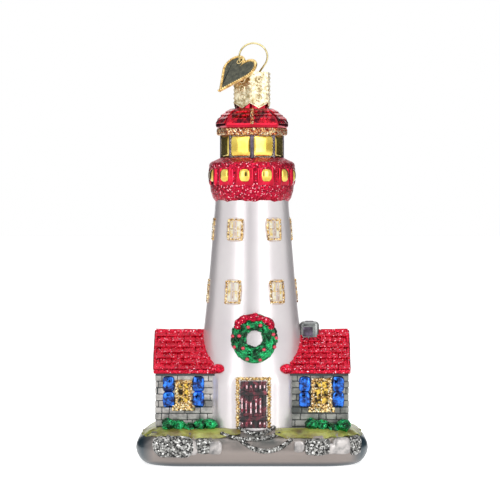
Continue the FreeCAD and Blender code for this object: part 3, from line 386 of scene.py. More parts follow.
red_dust = glitter("red glitter", ((0.20, 0.0, 0.012), (0.46, 0.003, 0.025), (0.60, 0.01, 0.05),
                                   (0.95, 0.4, 0.46)), metallic=0.8, grain=3300.0, tilt=0.8,
                   shares=(0.28, 0.72, 0.93))
red_glaze = lacquer("red lacquer on silver", (0.34, 0.0, 0.012), (0.66, 0.006, 0.04), 0.13, 0.97, coat=0.3,
                    patch_scale=160.0)
gold_glaze = lacquer("gold lacquer on silver", (0.55, 0.36, 0.03), (0.93, 0.72, 0.14), 0.1, 0.9, coat=0.7,
                     patch_scale=210.0, ripple=0.06)
collar = spun([(10.7, 77.9), (11.05, 78.2), (11.75, 79.2), (12.1, 80.2), (12.35, 80.9), (12.45, 81.8),
               (12.5, 82.3), (12.5, 82.6), (12.5, 87.3), (12.65, 87.45), (12.85, 87.9), (12.85, 88.8),
               (12.6, 89.35), (12.0, 89.8), (11.0, 90.2), (9.9, 90.75), (9.3, 91.0), (9.3, 77.9)], 144)
for vert in collar.verts:
    around = math.atan2(vert.co.y, vert.co.x)
    if vert.co.z < 79.5 and vert.co.xy.length > 10.5:
        vert.co.z += 0.22 * math.sin(around * 9) + 0.12 * math.sin(around * 23 + 1)
settle("gallery_bands", collar, red_dust, "gallery_red_coat")

panels = bmesh.new()
ovals = bmesh.new()
for number in range(12):
    place = facing_out(20 + 30 * number, 0, 85.6)
    for side in (-1, 1):
        shaped = place @ rotated(8.6 * side, "Z") @ at(0, -11.8, 0) @ sized(1.2, 1.25, 3.35)
        add_pillow(panels, 20, 14, shaped, power_z=0.55)
    add_pillow(panels, 24, 14, place @ at(0, -11.95, 0) @ sized(3.0, 0.75, 3.3), 0.7, 0.5)
    add_pillow(ovals, 24, 16, place @ at(0, -12.3, 0.1) @ sized(1.85, 1.0, 2.0), 0.75, 0.8)
settle("gallery_panels", panels, red_glaze, "gallery_red_coat")
settle("gallery_windows_gold", ovals, gold_glaze, "gallery_windows")

# ---------------------------------------------------------------------------------------------
# Lantern: eight bright panes of gold lacquer over silver, blown a little convex, so that each
# shows a pale middle and dark edges. The bars at its corners are brushed on in dark lacquer.

LANTERN_MIDDLE = 94.35
panes = bmesh.new()
bars = bmesh.new()
for number in range(8):
    pane = bmesh.ops.create_grid(panes, x_segments=14, y_segments=10, size=0.5)["verts"]
    for vert in pane:
        across, rise = vert.co.x * 2, vert.co.y * 2
        crown = (1 - across**4) * (1 - rise**6)
        vert.co = (across * 3.72, -8.42 - 0.62 * crown, LANTERN_MIDDLE + rise * 3.5)
    bmesh.ops.transform(panes, matrix=rotated(22.5 + 45 * number, "Z"), verts=pane)
    wide = 0.62 if number % 4 == 0 else 0.34
    bmesh.ops.create_cone(bars, cap_ends=True, segments=16, radius1=wide, radius2=wide, depth=6.9,
                          matrix=facing_out(45 * number, 9.25, LANTERN_MIDDLE))
bmesh.ops.solidify(panes, geom=panes.faces[:], thickness=0.25)
settle("lantern_gold_panes", panes, gold_glaze, "lantern_panes")
dark_glaze = lacquer("dark lacquer", (0.012, 0.008, 0.016), (0.16, 0.12, 0.18), 0.12, 0.75, coat=0.4,
                     patch_scale=500.0)
settle("lantern_bars", bars, dark_glaze, "lantern_corner_bars")

# ---------------------------------------------------------------------------------------------
# Lantern roof: eight blown slopes with rows of shingles in relief, in red lacquer over silver.
# A band of gold glitter goes round under the eave, and a line of it down the front and back hips.

ROOF = ((99.7, 10.2), (100.1, 10.75), (100.7, 10.98), (101.4, 10.9), (102.3, 10.4), (103.2, 9.55),
        (104.1, 8.45), (105.0, 7.3), (105.6, 6.4))


def on_slope(angle, share):
    """A point on the roof's slope at an angle, a share of the way from the eave to the shoulder."""
    height = 100.95 + 4.6 * share
    flat = math.cos(math.radians(22.5)) / math.cos(math.radians((angle % 45) - 22.5))
    radius = read_off(ROOF, height) * flat
    around = math.radians(angle)
    return Vector((radius * math.sin(around), -radius * math.cos(around), height))


def add_rod(shape, start, end, segments, foot, head, overlap):
    """A round rod between two points, and a little longer than that."""
    run = end - start
    made = bmesh.ops.create_cone(shape, cap_ends=True, segments=segments, radius1=foot, radius2=head,
                                 depth=run.length + overlap)["verts"]
    aim = run.to_track_quat("Z", "Y").to_matrix().to_4x4()
    bmesh.ops.transform(shape, matrix=at(*(start + end) / 2) @ aim, verts=made)


slopes = bmesh.new()
for height, reach in ROOF:
    bmesh.ops.create_circle(slopes, cap_ends=False, segments=8, radius=reach, matrix=at(0, 0, height))
bmesh.ops.bridge_loops(slopes, edges=slopes.edges[:])
bmesh.ops.holes_fill(slopes, edges=[edge for edge in slopes.edges if edge.is_boundary], sides=8)
settle("lantern_roof_slopes", slopes, red_glaze, "lantern_roof_coat", edge=(0.0004, 3))

# noise_vector takes its offsets from the clock unless the noise is seeded.
noise.seed_set(11)
shingles = bmesh.new()
shingles.verts.layers.float.new("tone")
dice = random.Random(11)
for facet in range(8):
    for row in range(4):
        low_share = 0.03 + 0.235 * row
        count = 5 - row // 2
        for number in range(count):
            start = facet * 45 + 3.5 + (38.0 / count) * (number + 0.5 * (row % 2) * 0.6)
            end = min(start + 38.0 / count, facet * 45 + 41.5)
            if end - start < 3:
                continue
            left, right = on_slope(start, low_share), on_slope(end, low_share)
            top = (on_slope(start, low_share + 0.26) + on_slope(end, low_share + 0.26)) / 2
            middle = (left + right) / 2
            along = (right - left).normalized()
            up = (top - middle).normalized()
            out = along.cross(up)
            lie = at(*(middle + top) / 2 + out * 0.12) @ Matrix((along, up, out)).transposed().to_4x4()
            size = ((right - left).length * 0.94, (top - middle).length * 0.98, 0.34)
            add_block(shingles, size, lie @ rotated(-9 + dice.uniform(-3, 3), "X"), dice.random())
for vert in shingles.verts:
    vert.co += 0.16 * noise.noise_vector(vert.co * 0.9)
roof_glaze = lacquer("deep red roof lacquer", (0.09, 0.0, 0.008), (0.72, 0.008, 0.03), 0.12, 0.97, coat=0.3,
                     patch_scale=330.0, ripple=0.35, spread=(0.4, 0.6))
settle("lantern_shingles", shingles, roof_glaze, "lantern_roof_coat", edge=(0.00016, 2))

sleeve = spun([(4.45, 105.4), (6.4, 105.4), (6.2, 105.65), (4.68, 105.75), (4.62, 108.2), (4.45, 108.2)], 48)
settle("neck_sleeve", sleeve, red_glaze, "lantern_roof_coat")

trim = spun([(9.2, 97.6), (9.9, 97.55), (10.45, 97.8), (10.6, 98.3), (10.6, 99.2), (10.4, 99.75),
             (9.2, 99.9)], 8)
for hip in (0.001, 180.001):
    for part in range(7):
        add_rod(trim, on_slope(hip, 0.96 * part / 7), on_slope(hip, 0.96 * (part + 1) / 7), 10, 0.55, 0.5, 0.2)
eave_dust = glitter("gold and red glitter", ((0.20, 0.01, 0.01), (0.50, 0.14, 0.04), (0.80, 0.52, 0.22),
                                             (1.0, 0.9, 0.62)), grain=3300.0, tilt=1.3,
                    shares=(0.3, 0.58, 0.84))
settle("lantern_roof_glitter", trim, eave_dust, "lantern_roof_trim")

# ---------------------------------------------------------------------------------------------
# Door: six upright planks under two battens, blown in relief and painted black over maroon, with
# pale streaks along the planks that are painted highlights. Its frame is a beaded band of gold glitter.

DOOR_TURN = 0.4


def wrap(verts, place):
    """Bend pieces drawn flat onto the tower: X runs round it, -Y stands out of it."""
    for vert in verts:
        radius = read_off(TOWER, vert.co.z)
        angle = (vert.co.x + place) / radius
        out = radius - vert.co.y
        vert.co.x, vert.co.y = out * math.sin(angle), -out * math.cos(angle)


dice = random.Random(5)
planks = bmesh.new()
for number in range(6):
    add_block(planks, (1.12, 1.2, 13.9), at(-3.25 + 1.3 * number, -0.05, 18.15))
for low in (13.4, 20.8):
    add_block(planks, (7.7, 0.8, 1.5), at(0, -0.55, low + 0.7))
add_block(planks, (7.8, 0.5, 13.9), at(0, -0.08, 18.15))
wide_edges = [edge for edge in planks.edges if abs(edge.verts[0].co.x - edge.verts[1].co.x) > 5]
bmesh.ops.subdivide_edges(planks, edges=wide_edges, cuts=5)
wrap(planks.verts, DOOR_TURN)
door_glaze = lacquer("black lacquer over maroon", (0.006, 0.002, 0.004), (0.22, 0.02, 0.04), 0.12, 0.6,
                     patch_scale=600.0, ripple=0.4, spread=(0.48, 0.66))
settle("door_planks", planks, door_glaze, "door_leaf", edge=(0.00036, 4))

# Painted highlights: raised streaks of pale pink-silver lacquer along the planks.
wear_and_glints = bmesh.new()
for number in range(6):
    for low, high in ((11.9, 13.2), (15.4, 20.2), (22.6, 24.4)):
        if dice.random() < 0.85:
            start, end = low + dice.uniform(0, 0.5), high - dice.uniform(0, 0.3 * (high - low))
            add_block(wear_and_glints, (0.42, 0.4, end - start),
                      at(-3.25 + 1.3 * number + dice.uniform(-0.1, 0.1), -0.58, (start + end) / 2))
wrap(wear_and_glints.verts, DOOR_TURN)
sheen = lacquer("maroon with painted highlights over silver", (0.30, 0.03, 0.06), (0.92, 0.66, 0.70), 0.2, 0.75, coat=0.5,
                patch_scale=900.0, ripple=0.4, spread=(0.42, 0.58))
settle("door_plank_painted_highlights", wear_and_glints, sheen, "door_leaf", edge=(0.00016, 3))

surround = bmesh.new()
spots = [(-4.6, 11.6 + 0.88 * number) for number in range(16)]
spots += [(-4.6 + 0.92 * number, 25.75) for number in range(11)]
spots += [(4.6, 11.6 + 0.88 * number) for number in range(16)]
for across, rise in spots:
    grown = sized(dice.uniform(0.66, 0.82), 0.8, dice.uniform(0.52, 0.64))
    add_ball(surround, 2, at(across + dice.uniform(-0.1, 0.1), 0.05, rise) @ grown)
wrap(surround.verts, DOOR_TURN)
settle("door_frame_beads", surround, gold_dust, "door_frame", 60)

# ---------------------------------------------------------------------------------------------
# Wreath: a thick ring blown in relief over the door, painted leaf by leaf in clear green over
# silver, with a dozen raised red berries and a ribbon in red glitter over its top.

WREATH_HEIGHT, WREATH_TURN = 37.6, 0.7
REACH, THICK = 4.7, 2.2
green_glaze = lacquer("green lacquer on silver", (0.0, 0.035, 0.01), (0.01, 0.36, 0.11), 0.12, 0.95,
                      coat=0.35, patch_scale=420.0, ripple=0.4, spread=(0.42, 0.6))
ring = bmesh.new()
bmesh.ops.create_circle(ring, cap_ends=False, segments=20, radius=THICK, matrix=at(4.75, 0, 0))
spin_round(ring, ring.verts[:] + ring.edges[:], 72, (0, 1, 0))
bmesh.ops.scale(ring, vec=(1, 0.7, 1.06), verts=ring.verts)
for number in range(240):
    around = number * math.tau / 240 + dice.uniform(-0.05, 0.05)
    over = dice.uniform(-1.25, 1.25)
    shaped = (Matrix.Rotation(-around, 4, "Y") @ at(REACH + THICK * math.sin(over), -1.55 * math.cos(over), 0)
              @ Matrix.Rotation(over, 4, "Z") @ Matrix.Rotation(dice.uniform(-0.7, 0.7), 4, "Y")
              @ Matrix.Rotation(dice.uniform(-0.35, 0.35), 4, "X") @ sized(0.5, 0.34, 1.05))
    add_ball(ring, 1, shaped)
bmesh.ops.translate(ring, vec=(0, 0.1, WREATH_HEIGHT), verts=ring.verts)
wrap(ring.verts, WREATH_TURN)
settle("wreath_leaves", ring, green_glaze, "wreath", 60)

BERRIES = ((-1.7, 3.4), (1.5, 3.9), (-6.0, 0.7), (-4.1, 0.8), (5.1, 1.2), (6.0, 0.1), (-5.5, -2.5),
           (-3.1, -2.8), (2.5, -3.2), (5.5, -2.5), (-2.0, -6.0), (1.5, -6.2))
berries = bmesh.new()
for across, rise in BERRIES:
    away = (math.hypot(across, rise / 1.06) - REACH) / THICK
    high = -1.75 * math.sqrt(max(0.05, 1 - min(1.0, away * away)))
    add_ball(berries, 3, at(across, high, WREATH_HEIGHT + rise), 0.56)
wrap(berries.verts, WREATH_TURN)
berry_glaze = lacquer("berry red lacquer", (0.5, 0.0, 0.02), (0.85, 0.02, 0.08), 0.12, 0.35, coat=1.0)
settle("wreath_berries_red", berries, berry_glaze, "wreath_berries", 60)

ribbon = bmesh.new()
for start, end in (((-5.0, 41.9), (-1.9, 44.0)), ((-1.9, 44.0), (2.3, 43.5)), ((2.3, 43.5), (5.1, 41.5))):
    run = Vector(end) - Vector(start)
    middle = (Vector(start) + Vector(end)) / 2
    add_pillow(ribbon, 20, 12, at(middle.x, -1.55, middle.y) @ Matrix.Rotation(-math.atan2(run.y, run.x), 4, "Y")
               @ sized(run.length / 2 + 0.5, 0.8, 1.15))
for across, rise in ((-4.6, 41.0), (4.6, 41.0), (0.2, 44.4)):
    add_pillow(ribbon, 16, 10, at(across, -1.6, rise) @ sized(0.95, 0.85, 0.85))
for vert in ribbon.verts:
    vert.co += 0.22 * noise.noise_vector(vert.co * 0.9)
wrap(ribbon.verts, WREATH_TURN)
settle("wreath_ribbon", ribbon, red_dust, "wreath_bow", 60)

# ---------------------------------------------------------------------------------------------
# Cottage walls: blown stone courses, painted grey and rubbed back, so that the stones are pale
# and the joints dark. One cottage stands on each side of the tower.

def toned(name, dark, pale, roughness, metallic, coat=0.3, patch_scale=210.0, share=0.36):
    """Paint that follows each stone's own shade, with brush marks across them all."""
    made, shader = finish(name, dark, roughness, metallic, coat)
    tree = made.node_tree
    own = add_node(tree, "ShaderNodeAttribute", attribute_name="tone").outputs["Fac"]
    rubbed_and_shade = mapped(tree, brush_on(tree, shader, patch_scale, 0.3), 0.4, 0.6, 0.0, 1 - share)
    both = reckon(tree, "ADD", reckon(tree, "MULTIPLY", own, share), rubbed_and_shade)
    tree.links.new(blend_colours(tree, both, dark, pale), shader.inputs["Base Color"])
    return made


def gabled(shape, near, far, depth, low, eave, ridge):
    """A solid house form between two places along X."""
    corners = ((-depth, low), (depth, low), (depth, eave), (0, ridge), (-depth, eave))
    end = shape.faces.new([shape.verts.new((near, across, rise)) for across, rise in corners])
    push_out(shape, [end], (far - near, 0, 0))


joint_paint = lacquer("dark joint paint", (0.025, 0.03, 0.034), (0.07, 0.08, 0.085), 0.45, 0.2, coat=0.2)
left_stone = toned("pale stone paint", (0.13, 0.135, 0.13), (0.86, 0.81, 0.77), 0.3, 0.15, patch_scale=230.0)
right_stone = toned("dark stone paint", (0.05, 0.06, 0.055), (0.46, 0.46, 0.42), 0.3, 0.2, patch_scale=230.0)
WALL_DEPTH, GABLE_END = 10.72, 28.42
COURSE, JOINT = 1.92, 0.17
STONE_THICK, SHORTEST = 0.5, 0.7
for side, sign, stone in (("left", -1, left_stone), ("right", 1, right_stone)):
    backing = bmesh.new()
    gabled(backing, sign * 9.0, sign * 28.4, WALL_DEPTH, 10.4, 27.6, 37.0)
    add_block(backing, (19.2, 22.8, 0.7), at(sign * 19.0, 0, 26.7))
    settle(f"{side}_wall_joints", backing, joint_paint, f"cottage_walls_{side}")
    stones = bmesh.new()
    stones.verts.layers.float.new("tone")
    for course in range(8):
        middle = 11.25 + COURSE * (course + 0.5)
        for face in (-1, 1):
            start = 10.6 + dice.uniform(-1.5, 0)
            while start < 28.2:
                length = min(dice.choice((2.2, 3.0, 3.8, 4.6, 5.4)), 28.55 - start)
                if length > SHORTEST:
                    proud = dice.uniform(-0.04, 0.1)
                    spot = (at(sign * (start + length / 2), face * (WALL_DEPTH + proud), middle)
                            @ rotated(dice.uniform(-0.8, 0.8), "Y"))
                    add_block(stones, (length - 0.16, STONE_THICK, COURSE - JOINT), spot, dice.random())
                start += length
        across = -10.9
        while across < 10.8:
            length = min(dice.choice((2.6, 3.4, 4.2, 5.0)), 10.9 - across)
            if length > SHORTEST:
                spot = at(sign * (GABLE_END + dice.uniform(-0.04, 0.1)), across + length / 2, middle)
                add_block(stones, (STONE_THICK, length - 0.16, COURSE - JOINT), spot, dice.random())
            across += length
    for course in range(5):
        middle = 27.6 + COURSE * (course + 0.5)
        half = 10.2 * (38.0 - middle) / 11.5
        for part in (-1, 0, 1):
            add_block(stones, (STONE_THICK, half * 0.6, COURSE - 0.2),
                      at(sign * GABLE_END, part * half * 0.67, middle), dice.random())
    settle(f"{side}_wall_stones", stones, stone, f"cottage_walls_{side}", edge=(0.00034, 3))

# ---------------------------------------------------------------------------------------------
# Cottage roofs: rows of blown tiles, lapped and a little crooked, under red lacquer dusted with
# fine red and silver glitter. Half-round tiles close the ridge.

PITCH = math.atan2(11.1, 12.2)


def down_roof(along, face, down, ridge):
    """A point of a slope, a distance down from a ridge at a height."""
    return Vector((along, face * down * math.cos(PITCH), ridge - down * math.sin(PITCH)))


roof_dust = glitter("red roof glitter", ((0.36, 0.0, 0.012), (0.60, 0.004, 0.03), (0.68, 0.015, 0.05),
                                         (0.9, 0.42, 0.5)), metallic=0.72, roughness=0.26, grain=3600.0,
                    tilt=0.5, shares=(0.25, 0.7, 0.955))
for side, sign in (("left", -1), ("right", 1)):
    boards = bmesh.new()
    gabled(boards, sign * 9.0, sign * 29.2, 12.1, 26.95, 28.1, 39.14)
    settle(f"{side}_roof_boards", boards, roof_dust, f"cottage_roof_{side}", edge=(0.0004, 3))
    tiles = bmesh.new()
    tiles.verts.layers.float.new("tone")
    for face in (-1, 1):
        for row in range(7):
            for number in range(row % 2, 7):
                along = 27.4 - 3.5 * number + 1.75 * (row % 2)
                spot = down_roof(sign * along, face, 15.35 - 2.28 * row, 39.4)
                if math.hypot(along + 1.2, spot.y) < read_off(TOWER, spot.z) - 0.5:
                    continue
                lie = (at(*spot) @ Matrix.Rotation(face * -PITCH, 4, "X")
                       @ rotated(face * dice.uniform(8, 12), "X") @ rotated(dice.uniform(-1.6, 1.6), "Z"))
                add_block(tiles, (3.3 + dice.uniform(-0.05, 0.15), 2.6, 0.5), lie, dice.random())
        foot = []
        for number in range(15):
            edge = down_roof(0, face, 0.6 + number * 14.9 / 14, 39.0)
            edge.x = sign * (math.sqrt((read_off(TOWER, edge.z) + 0.3) ** 2 - edge.y**2) - 0.12 * number / 14)
            foot.append(edge)
        add_ball(tiles, 3, at(sign * 10.3, face * 12.7, foot[-1].z - 0.05)
                 @ Matrix.Rotation(-0.35 * sign * face, 4, "Z") @ sized(2.25, 0.8, 1.45))
        for verge in (foot, [down_roof(sign * 28.7, face, down, 38.9) for down in (0.2, 5.0, 10.0, 15.6)]):
            for start, end in zip(verge, verge[1:]):
                add_rod(tiles, start, end, 12, 0.62, 0.62, 0.25)
    for number in range(5):
        bmesh.ops.create_cone(tiles, cap_ends=True, segments=14, radius1=0.95, radius2=0.86, depth=4.0,
                              matrix=at(sign * (26.8 - 4.1 * number), 0, 38.75) @ rotated(90, "Y"))
    for vert in tiles.verts:
        vert.co += 0.22 * noise.noise_vector(vert.co * 0.45)
        vert.co.z = min(vert.co.z, 39.9)
    settle(f"{side}_roof_tiles", tiles, roof_dust, f"cottage_roof_{side}", edge=(0.00026, 3))

# ---------------------------------------------------------------------------------------------
# Chimney: a rounded stack blown on the right-hand ridge, in dark grey lacquer, with a black patch
# for the flue on its top and a black square on the front of the stack.

stack = bmesh.new()
add_block(stack, (5.8, 5.1, 7.44), at(17.2, 0, 38.2))
dark_stone = lacquer("dark grey lacquer", (0.03, 0.045, 0.05), (0.30, 0.31, 0.30), 0.14, 0.85, coat=0.4,
                     patch_scale=170.0)
settle("chimney_stack", stack, dark_stone, "chimney", edge=(0.0012, 6))
flue_and_front_patch = bmesh.new()
add_block(flue_and_front_patch, (2.9, 0.3, 2.8), at(16.75, -2.6, 38.9))
add_block(flue_and_front_patch, (2.6, 2.2, 0.3), at(17.2, 0, 41.95))
settle("chimney_black_patches", flue_and_front_patch, dark_glaze, "chimney", edge=(0.00015, 3))

# ---------------------------------------------------------------------------------------------
# Cottage windows: frames and sills in gold glitter round bare dark-gold lights, and panelled
# shutters in clear blue over silver. The same windows are moulded at the back.

blue_glaze = lacquer("blue lacquer on silver", (0.0, 0.004, 0.06), (0.02, 0.18, 0.78), 0.1, 0.95, coat=0.5,
                     patch_scale=600.0, ripple=0.8, spread=(0.42, 0.6))
dark_gold = lacquer("dark gold lacquer on silver", (0.02, 0.01, 0.002), (0.80, 0.52, 0.08), 0.12, 0.95,
                    coat=0.3, patch_scale=700.0, ripple=0.6, spread=(0.46, 0.6))
cottage_frames = bmesh.new()
cottage_lights = bmesh.new()
shutters = bmesh.new()
for place, wide, bottom, tall in ((-20.3, 4.9, 17.5, 7.6), (20.6, 6.0, 17.0, 8.6)):
    for turned, across in ((0, place), (180, -place)):
        spot = rotated(turned, "Z") @ at(across, -10.85, bottom + tall / 2)
        add_frame(cottage_frames, wide, tall, 1.15, 0.5, spot)
        add_beads(cottage_frames, wide - 0.6, tall - 0.6, spot @ at(0, -0.42, 0), 0.46, 0.72)
        add_beads(cottage_frames, wide - 1.5, tall - 1.5, spot @ at(0, -0.4, 0), 0.4, 0.72)
        add_block(cottage_frames, (0.45, 0.5, tall - 2), spot @ at(0, -0.15, 0))
        for rise in (-tall / 6.5, tall / 6.5):
            add_block(cottage_frames, (wide - 2, 0.5, 0.42), spot @ at(0, -0.15, rise))
        add_block(cottage_frames, (wide + 1.9, 1.2, 1.6), spot @ at(0, -0.12, -tall / 2 - 0.75))
        add_block(cottage_lights, (wide - 1.8, 0.4, tall - 1.8), spot @ at(0, -0.05, 0))
        for hand in (-1, 1):
            for rise in (-2.3, 2.3):
                leaf = spot @ at(hand * (wide / 2 + 1.95), 0, 0.25 + rise) @ sized(1.8, 0.75, 2.4)
                for vert in add_pillow(shutters, 24, 16, power_x=0.5, power_z=0.5):
                    vert.co.y *= 1 + 0.35 * noise.noise(vert.co * 2.1 + Vector((place, rise, hand)))
                    vert.co = leaf @ vert.co
settle("cottage_frames_gold", cottage_frames, gold_dust, "cottage_window_frames",
       edge=(0.00028, 3))
settle("cottage_lights_gold", cottage_lights, dark_gold, "cottage_window_panes",
       edge=(0.0002, 2))
settle("cottage_shutters_blue", shutters, blue_glaze, "cottage_shutters", 60)

# ---------------------------------------------------------------------------------------------
# Ground slab: the blown foot of the ornament, a rounded oblong with a lumpy bank, brushed in taupe,
# with painted shade in dark patches up the bank and dark teal painted shade at its ends and bottom edge.

SLAB = ((0.0, 3.6), (0.35, 2.7), (0.9, 1.9), (1.8, 1.1), (3.2, 0.35), (4.8, 0.0), (6.2, 0.25), (7.6, 0.9),
        (8.8, 2.2), (9.9, 3.6), (10.7, 5.0), (11.15, 6.2))
STRAIGHT, SIDE, CORNER = 20.6, 6.3, 14.0
corners = [Vector((STRAIGHT * x, SIDE * y)) for x, y in ((1, 1), (-1, 1), (-1, -1), (1, -1))]
outline = []
for number, count in enumerate((36, 10, 36, 10)):
    for step in range(24 + count):
        turned = math.radians(90 * (number + min(1, step / 24)))
        centre = corners[number].lerp(corners[(number + 1) % 4], max(0, step - 24) / count)
        outline.append((centre, Vector((math.cos(turned), math.sin(turned)))))


def lofted(levels, outset=0.0):
    """Rings of the slab's outline at a list of heights, joined by faces."""
    shape = bmesh.new()
    for height in levels:
        ring = bmesh.ops.create_circle(shape, cap_ends=False, segments=len(outline), radius=1)["verts"]
        for vert, (centre, way) in zip(ring, outline):
            vert.co.xy = centre + way * (CORNER - read_off(SLAB, height) + outset)
            vert.co.z = height
    bmesh.ops.bridge_loops(shape, edges=shape.edges[:])
    return shape


def bulged(place):
    """Where a point of the plain outline lies once the bank has its lumps."""
    bank = held((place.z - 2.6) / 1.6) * held((11.4 - place.z) / 1.2)
    lump = 0.5 + 0.5 * noise.noise(place * 0.26 + Vector((5.2, 1.3, 0)))
    fine = 0.5 + 0.5 * noise.noise(place * 0.7)
    inner = held((33.0 - abs(place.x)) / 4.0)
    beside_steps = held((abs(place.x - 1.5) - 7.0) / 6.0)
    return place.y * (1 + inner * bank * (0.3 + beside_steps * 0.9 * lump**1.5 + 0.12 * fine) / 20.0)


slab = lofted([0, 0.35, 0.9, 1.8, 2.5, 3.2, 4.0, 4.8, 5.5, 6.2, 6.9, 7.6, 8.2, 8.8, 9.4, 9.9, 10.3, 10.7,
               11.15])
rims = [edge for edge in slab.edges if edge.is_boundary]
bmesh.ops.holes_fill(slab, edges=rims, sides=len(outline))
for vert in slab.verts:
    vert.co.y = bulged(vert.co)
bank_surface = BVHTree.FromBMesh(slab)
ground, shader = finish("taupe ground paint", (0.36, 0.33, 0.31), 0.34, 0.45, 0.25)
tree = ground.node_tree
place = add_node(tree, "ShaderNodeTexCoord").outputs["Object"]
lengths = add_node(tree, "ShaderNodeSeparateXYZ", {0: place}).outputs
patch = mapped(tree, brush_on(tree, shader, 130.0, 0.15), 0.36, 0.62)
# Painted shade: noise patches higher up the bank are darkened, standing in for shade in its hollows.
painted_hollow_shade = reckon(tree, "MULTIPLY", mapped(tree, lengths["Z"], 0.0042, 0.0075), patch)
taupe = blend_colours(tree, painted_hollow_shade, (0.36, 0.31, 0.285), (0.09, 0.095, 0.09))
# Painted shade: dark teal at both ends and along the bottom edge, where the slab turns away from the lamps.
at_end = mapped(tree, reckon(tree, "ABSOLUTE", lengths["X"]), 0.0290, 0.0325)
rubbed_and_shade = reckon(tree, "MAXIMUM", at_end, mapped(tree, lengths["Z"], 0.0016, 0.0004))
edged = add_node(tree, "ShaderNodeMix", {0: rubbed_and_shade, 6: taupe, 7: (0.02, 0.05, 0.07, 1)}, data_type="RGBA")
tree.links.new(edged.outputs[2], shader.inputs["Base Color"])
settle("ground_slab", slab, ground, "base_coat", 60)

# ---------------------------------------------------------------------------------------------
# Rocks: boulders blown on the bank. Most are crusted with coarse silver glitter, and a few are
# brushed in plain pale grey.

silver_dust = glitter("coarse silver glitter", ((0.03, 0.03, 0.03), (0.2, 0.2, 0.19), (0.46, 0.46, 0.44),
                                                (0.92, 0.92, 0.9)), metallic=0.6, roughness=0.35, grain=2300.0,
                      tilt=1.7)
pale_stone = toned("pale rock paint", (0.17, 0.17, 0.17), (0.66, 0.62, 0.6), 0.34, 0.35, share=0.0)
ROCKS = ((-23.2, 5.7, 6.2, 3.1, True), (-14.2, 2.5, 6.4, 2.2, True), (-11.0, 2.1, 6.0, 1.9, False),
         (13.8, 1.6, 6.3, 1.6, False), (19.3, 3.7, 6.2, 2.4, True), (26.1, 2.7, 6.4, 2.4, False),
         (30.0, 2.2, 6.3, 2.7, True), (-17.9, 1.9, 6.0, 2.2, False), (23.2, 1.5, 5.6, 1.5, False))
FURTHEST = 21.64


def bank_front(across, height):
    """The depth of the bank's front at a place and height."""
    return bank_surface.ray_cast(Vector((across, -40, height)), Vector((0, 1, 0)))[0].y


crusted = bmesh.new()
plain = bmesh.new()
for face in (-1, 1):
    for across, half, height, tall, glittered in ROCKS:
        away = math.asin(max(0, abs(across) - STRAIGHT) / CORNER)
        grown = (at(across, bank_front(across, height) + 0.3, height)
                 @ Matrix.Rotation(math.copysign(away, across) * 0.9, 4, "Z")
                 @ sized(half * 1.06, 1.5, tall * 1.06))
        for vert in add_ball(crusted if glittered else plain, 4):
            lump = noise.noise(vert.co * 1.3 + Vector((across, 0, height)))
            fine = noise.noise(vert.co * 4 + Vector((height, across, 0)))
            vert.co = [squarer(value, 0.6) for value in vert.co]
            vert.co.xz *= 1 + 0.1 * lump + 0.05 * fine
            vert.co.y *= 0.98 + 0.05 * lump
            vert.co = grown @ vert.co
            vert.co.y = face * min(-vert.co.y, FURTHEST - 0.02 * (abs(across) % 3))
settle("glitter_rocks", crusted, silver_dust, "base_rocks", 60)
settle("plain_rocks", plain, pale_stone, "base_rocks", 60)

# ---------------------------------------------------------------------------------------------
# Door steps: three bowed steps in the bank before the door, their edges lined with silver
# glitter.

step_edges = bmesh.new()
for left, right, low, high, thick, ahead in ((-3.7, 6.4, 9.6, 11.2, 0.75, 0), (-8.9, 8.0, 8.3, 9.8, 0.6, 0.5),
                                            (-3.3, 11.3, 4.9, 8.0, 0.75, 0)):
    for number in range(56):
        share = 2 * number / 55 - 1
        across = (left + right) / 2 + share * (right - left) / 2
        height = low + (high - low) * share * share
        before_drum = -0.35 - math.sqrt(15.9**2 - across * across)
        front = min(bank_front(across, min(height, 11)) - 0.08, before_drum) - ahead
        add_ball(step_edges, 2, at(across, front, height) @ sized(thick, 0.5, thick * dice.uniform(0.8, 1.1)))
settle("step_edges", step_edges, silver_dust, "door_steps", 60)

# ---------------------------------------------------------------------------------------------
# Garden: a turf of yellow-green lacquer along the foot of the walls, with leafy bushes blown in
# relief on it and painted in clear green over silver.

turf_paint = toned("turf paint", (0.16, 0.10, 0.02), (0.56, 0.62, 0.13), 0.38, 0.15, coat=0.4, share=0.35)
PATH_MIDDLE = 1.3
turf = lofted([8.7, 9.1, 9.5, 9.9, 10.3, 10.7, 11.0, 11.14], 0.3)
path = [face for face in turf.faces if abs(face.calc_center_median().x - PATH_MIDDLE) < 5.3]
bmesh.ops.delete(turf, geom=path, context="FACES")
tone = turf.verts.layers.float.new("tone")
for vert in turf.verts:
    vert[tone] = 0.5 + 0.5 * noise.noise(vert.co * 0.35)
    lift = 1.1 * noise.noise(vert.co * 0.3) + 0.4 * noise.noise(vert.co * 1.1)
    lift += 1.6 * max(0, 1 - (abs(vert.co.x - PATH_MIDDLE) - 5) / 6)
    vert.co.z += lift * held((11.1 - vert.co.z) / 2.4)
    vert.co.xy *= 1 + 0.25 * noise.noise(vert.co * 1.6) / max(8.0, vert.co.xy.length)
    vert.co.y = bulged(vert.co)
bmesh.ops.recalc_face_normals(turf, faces=turf.faces)
bmesh.ops.solidify(turf, geom=turf.faces[:], thickness=0.35)
settle("turf_bank", turf, turf_paint, "grass", 60)

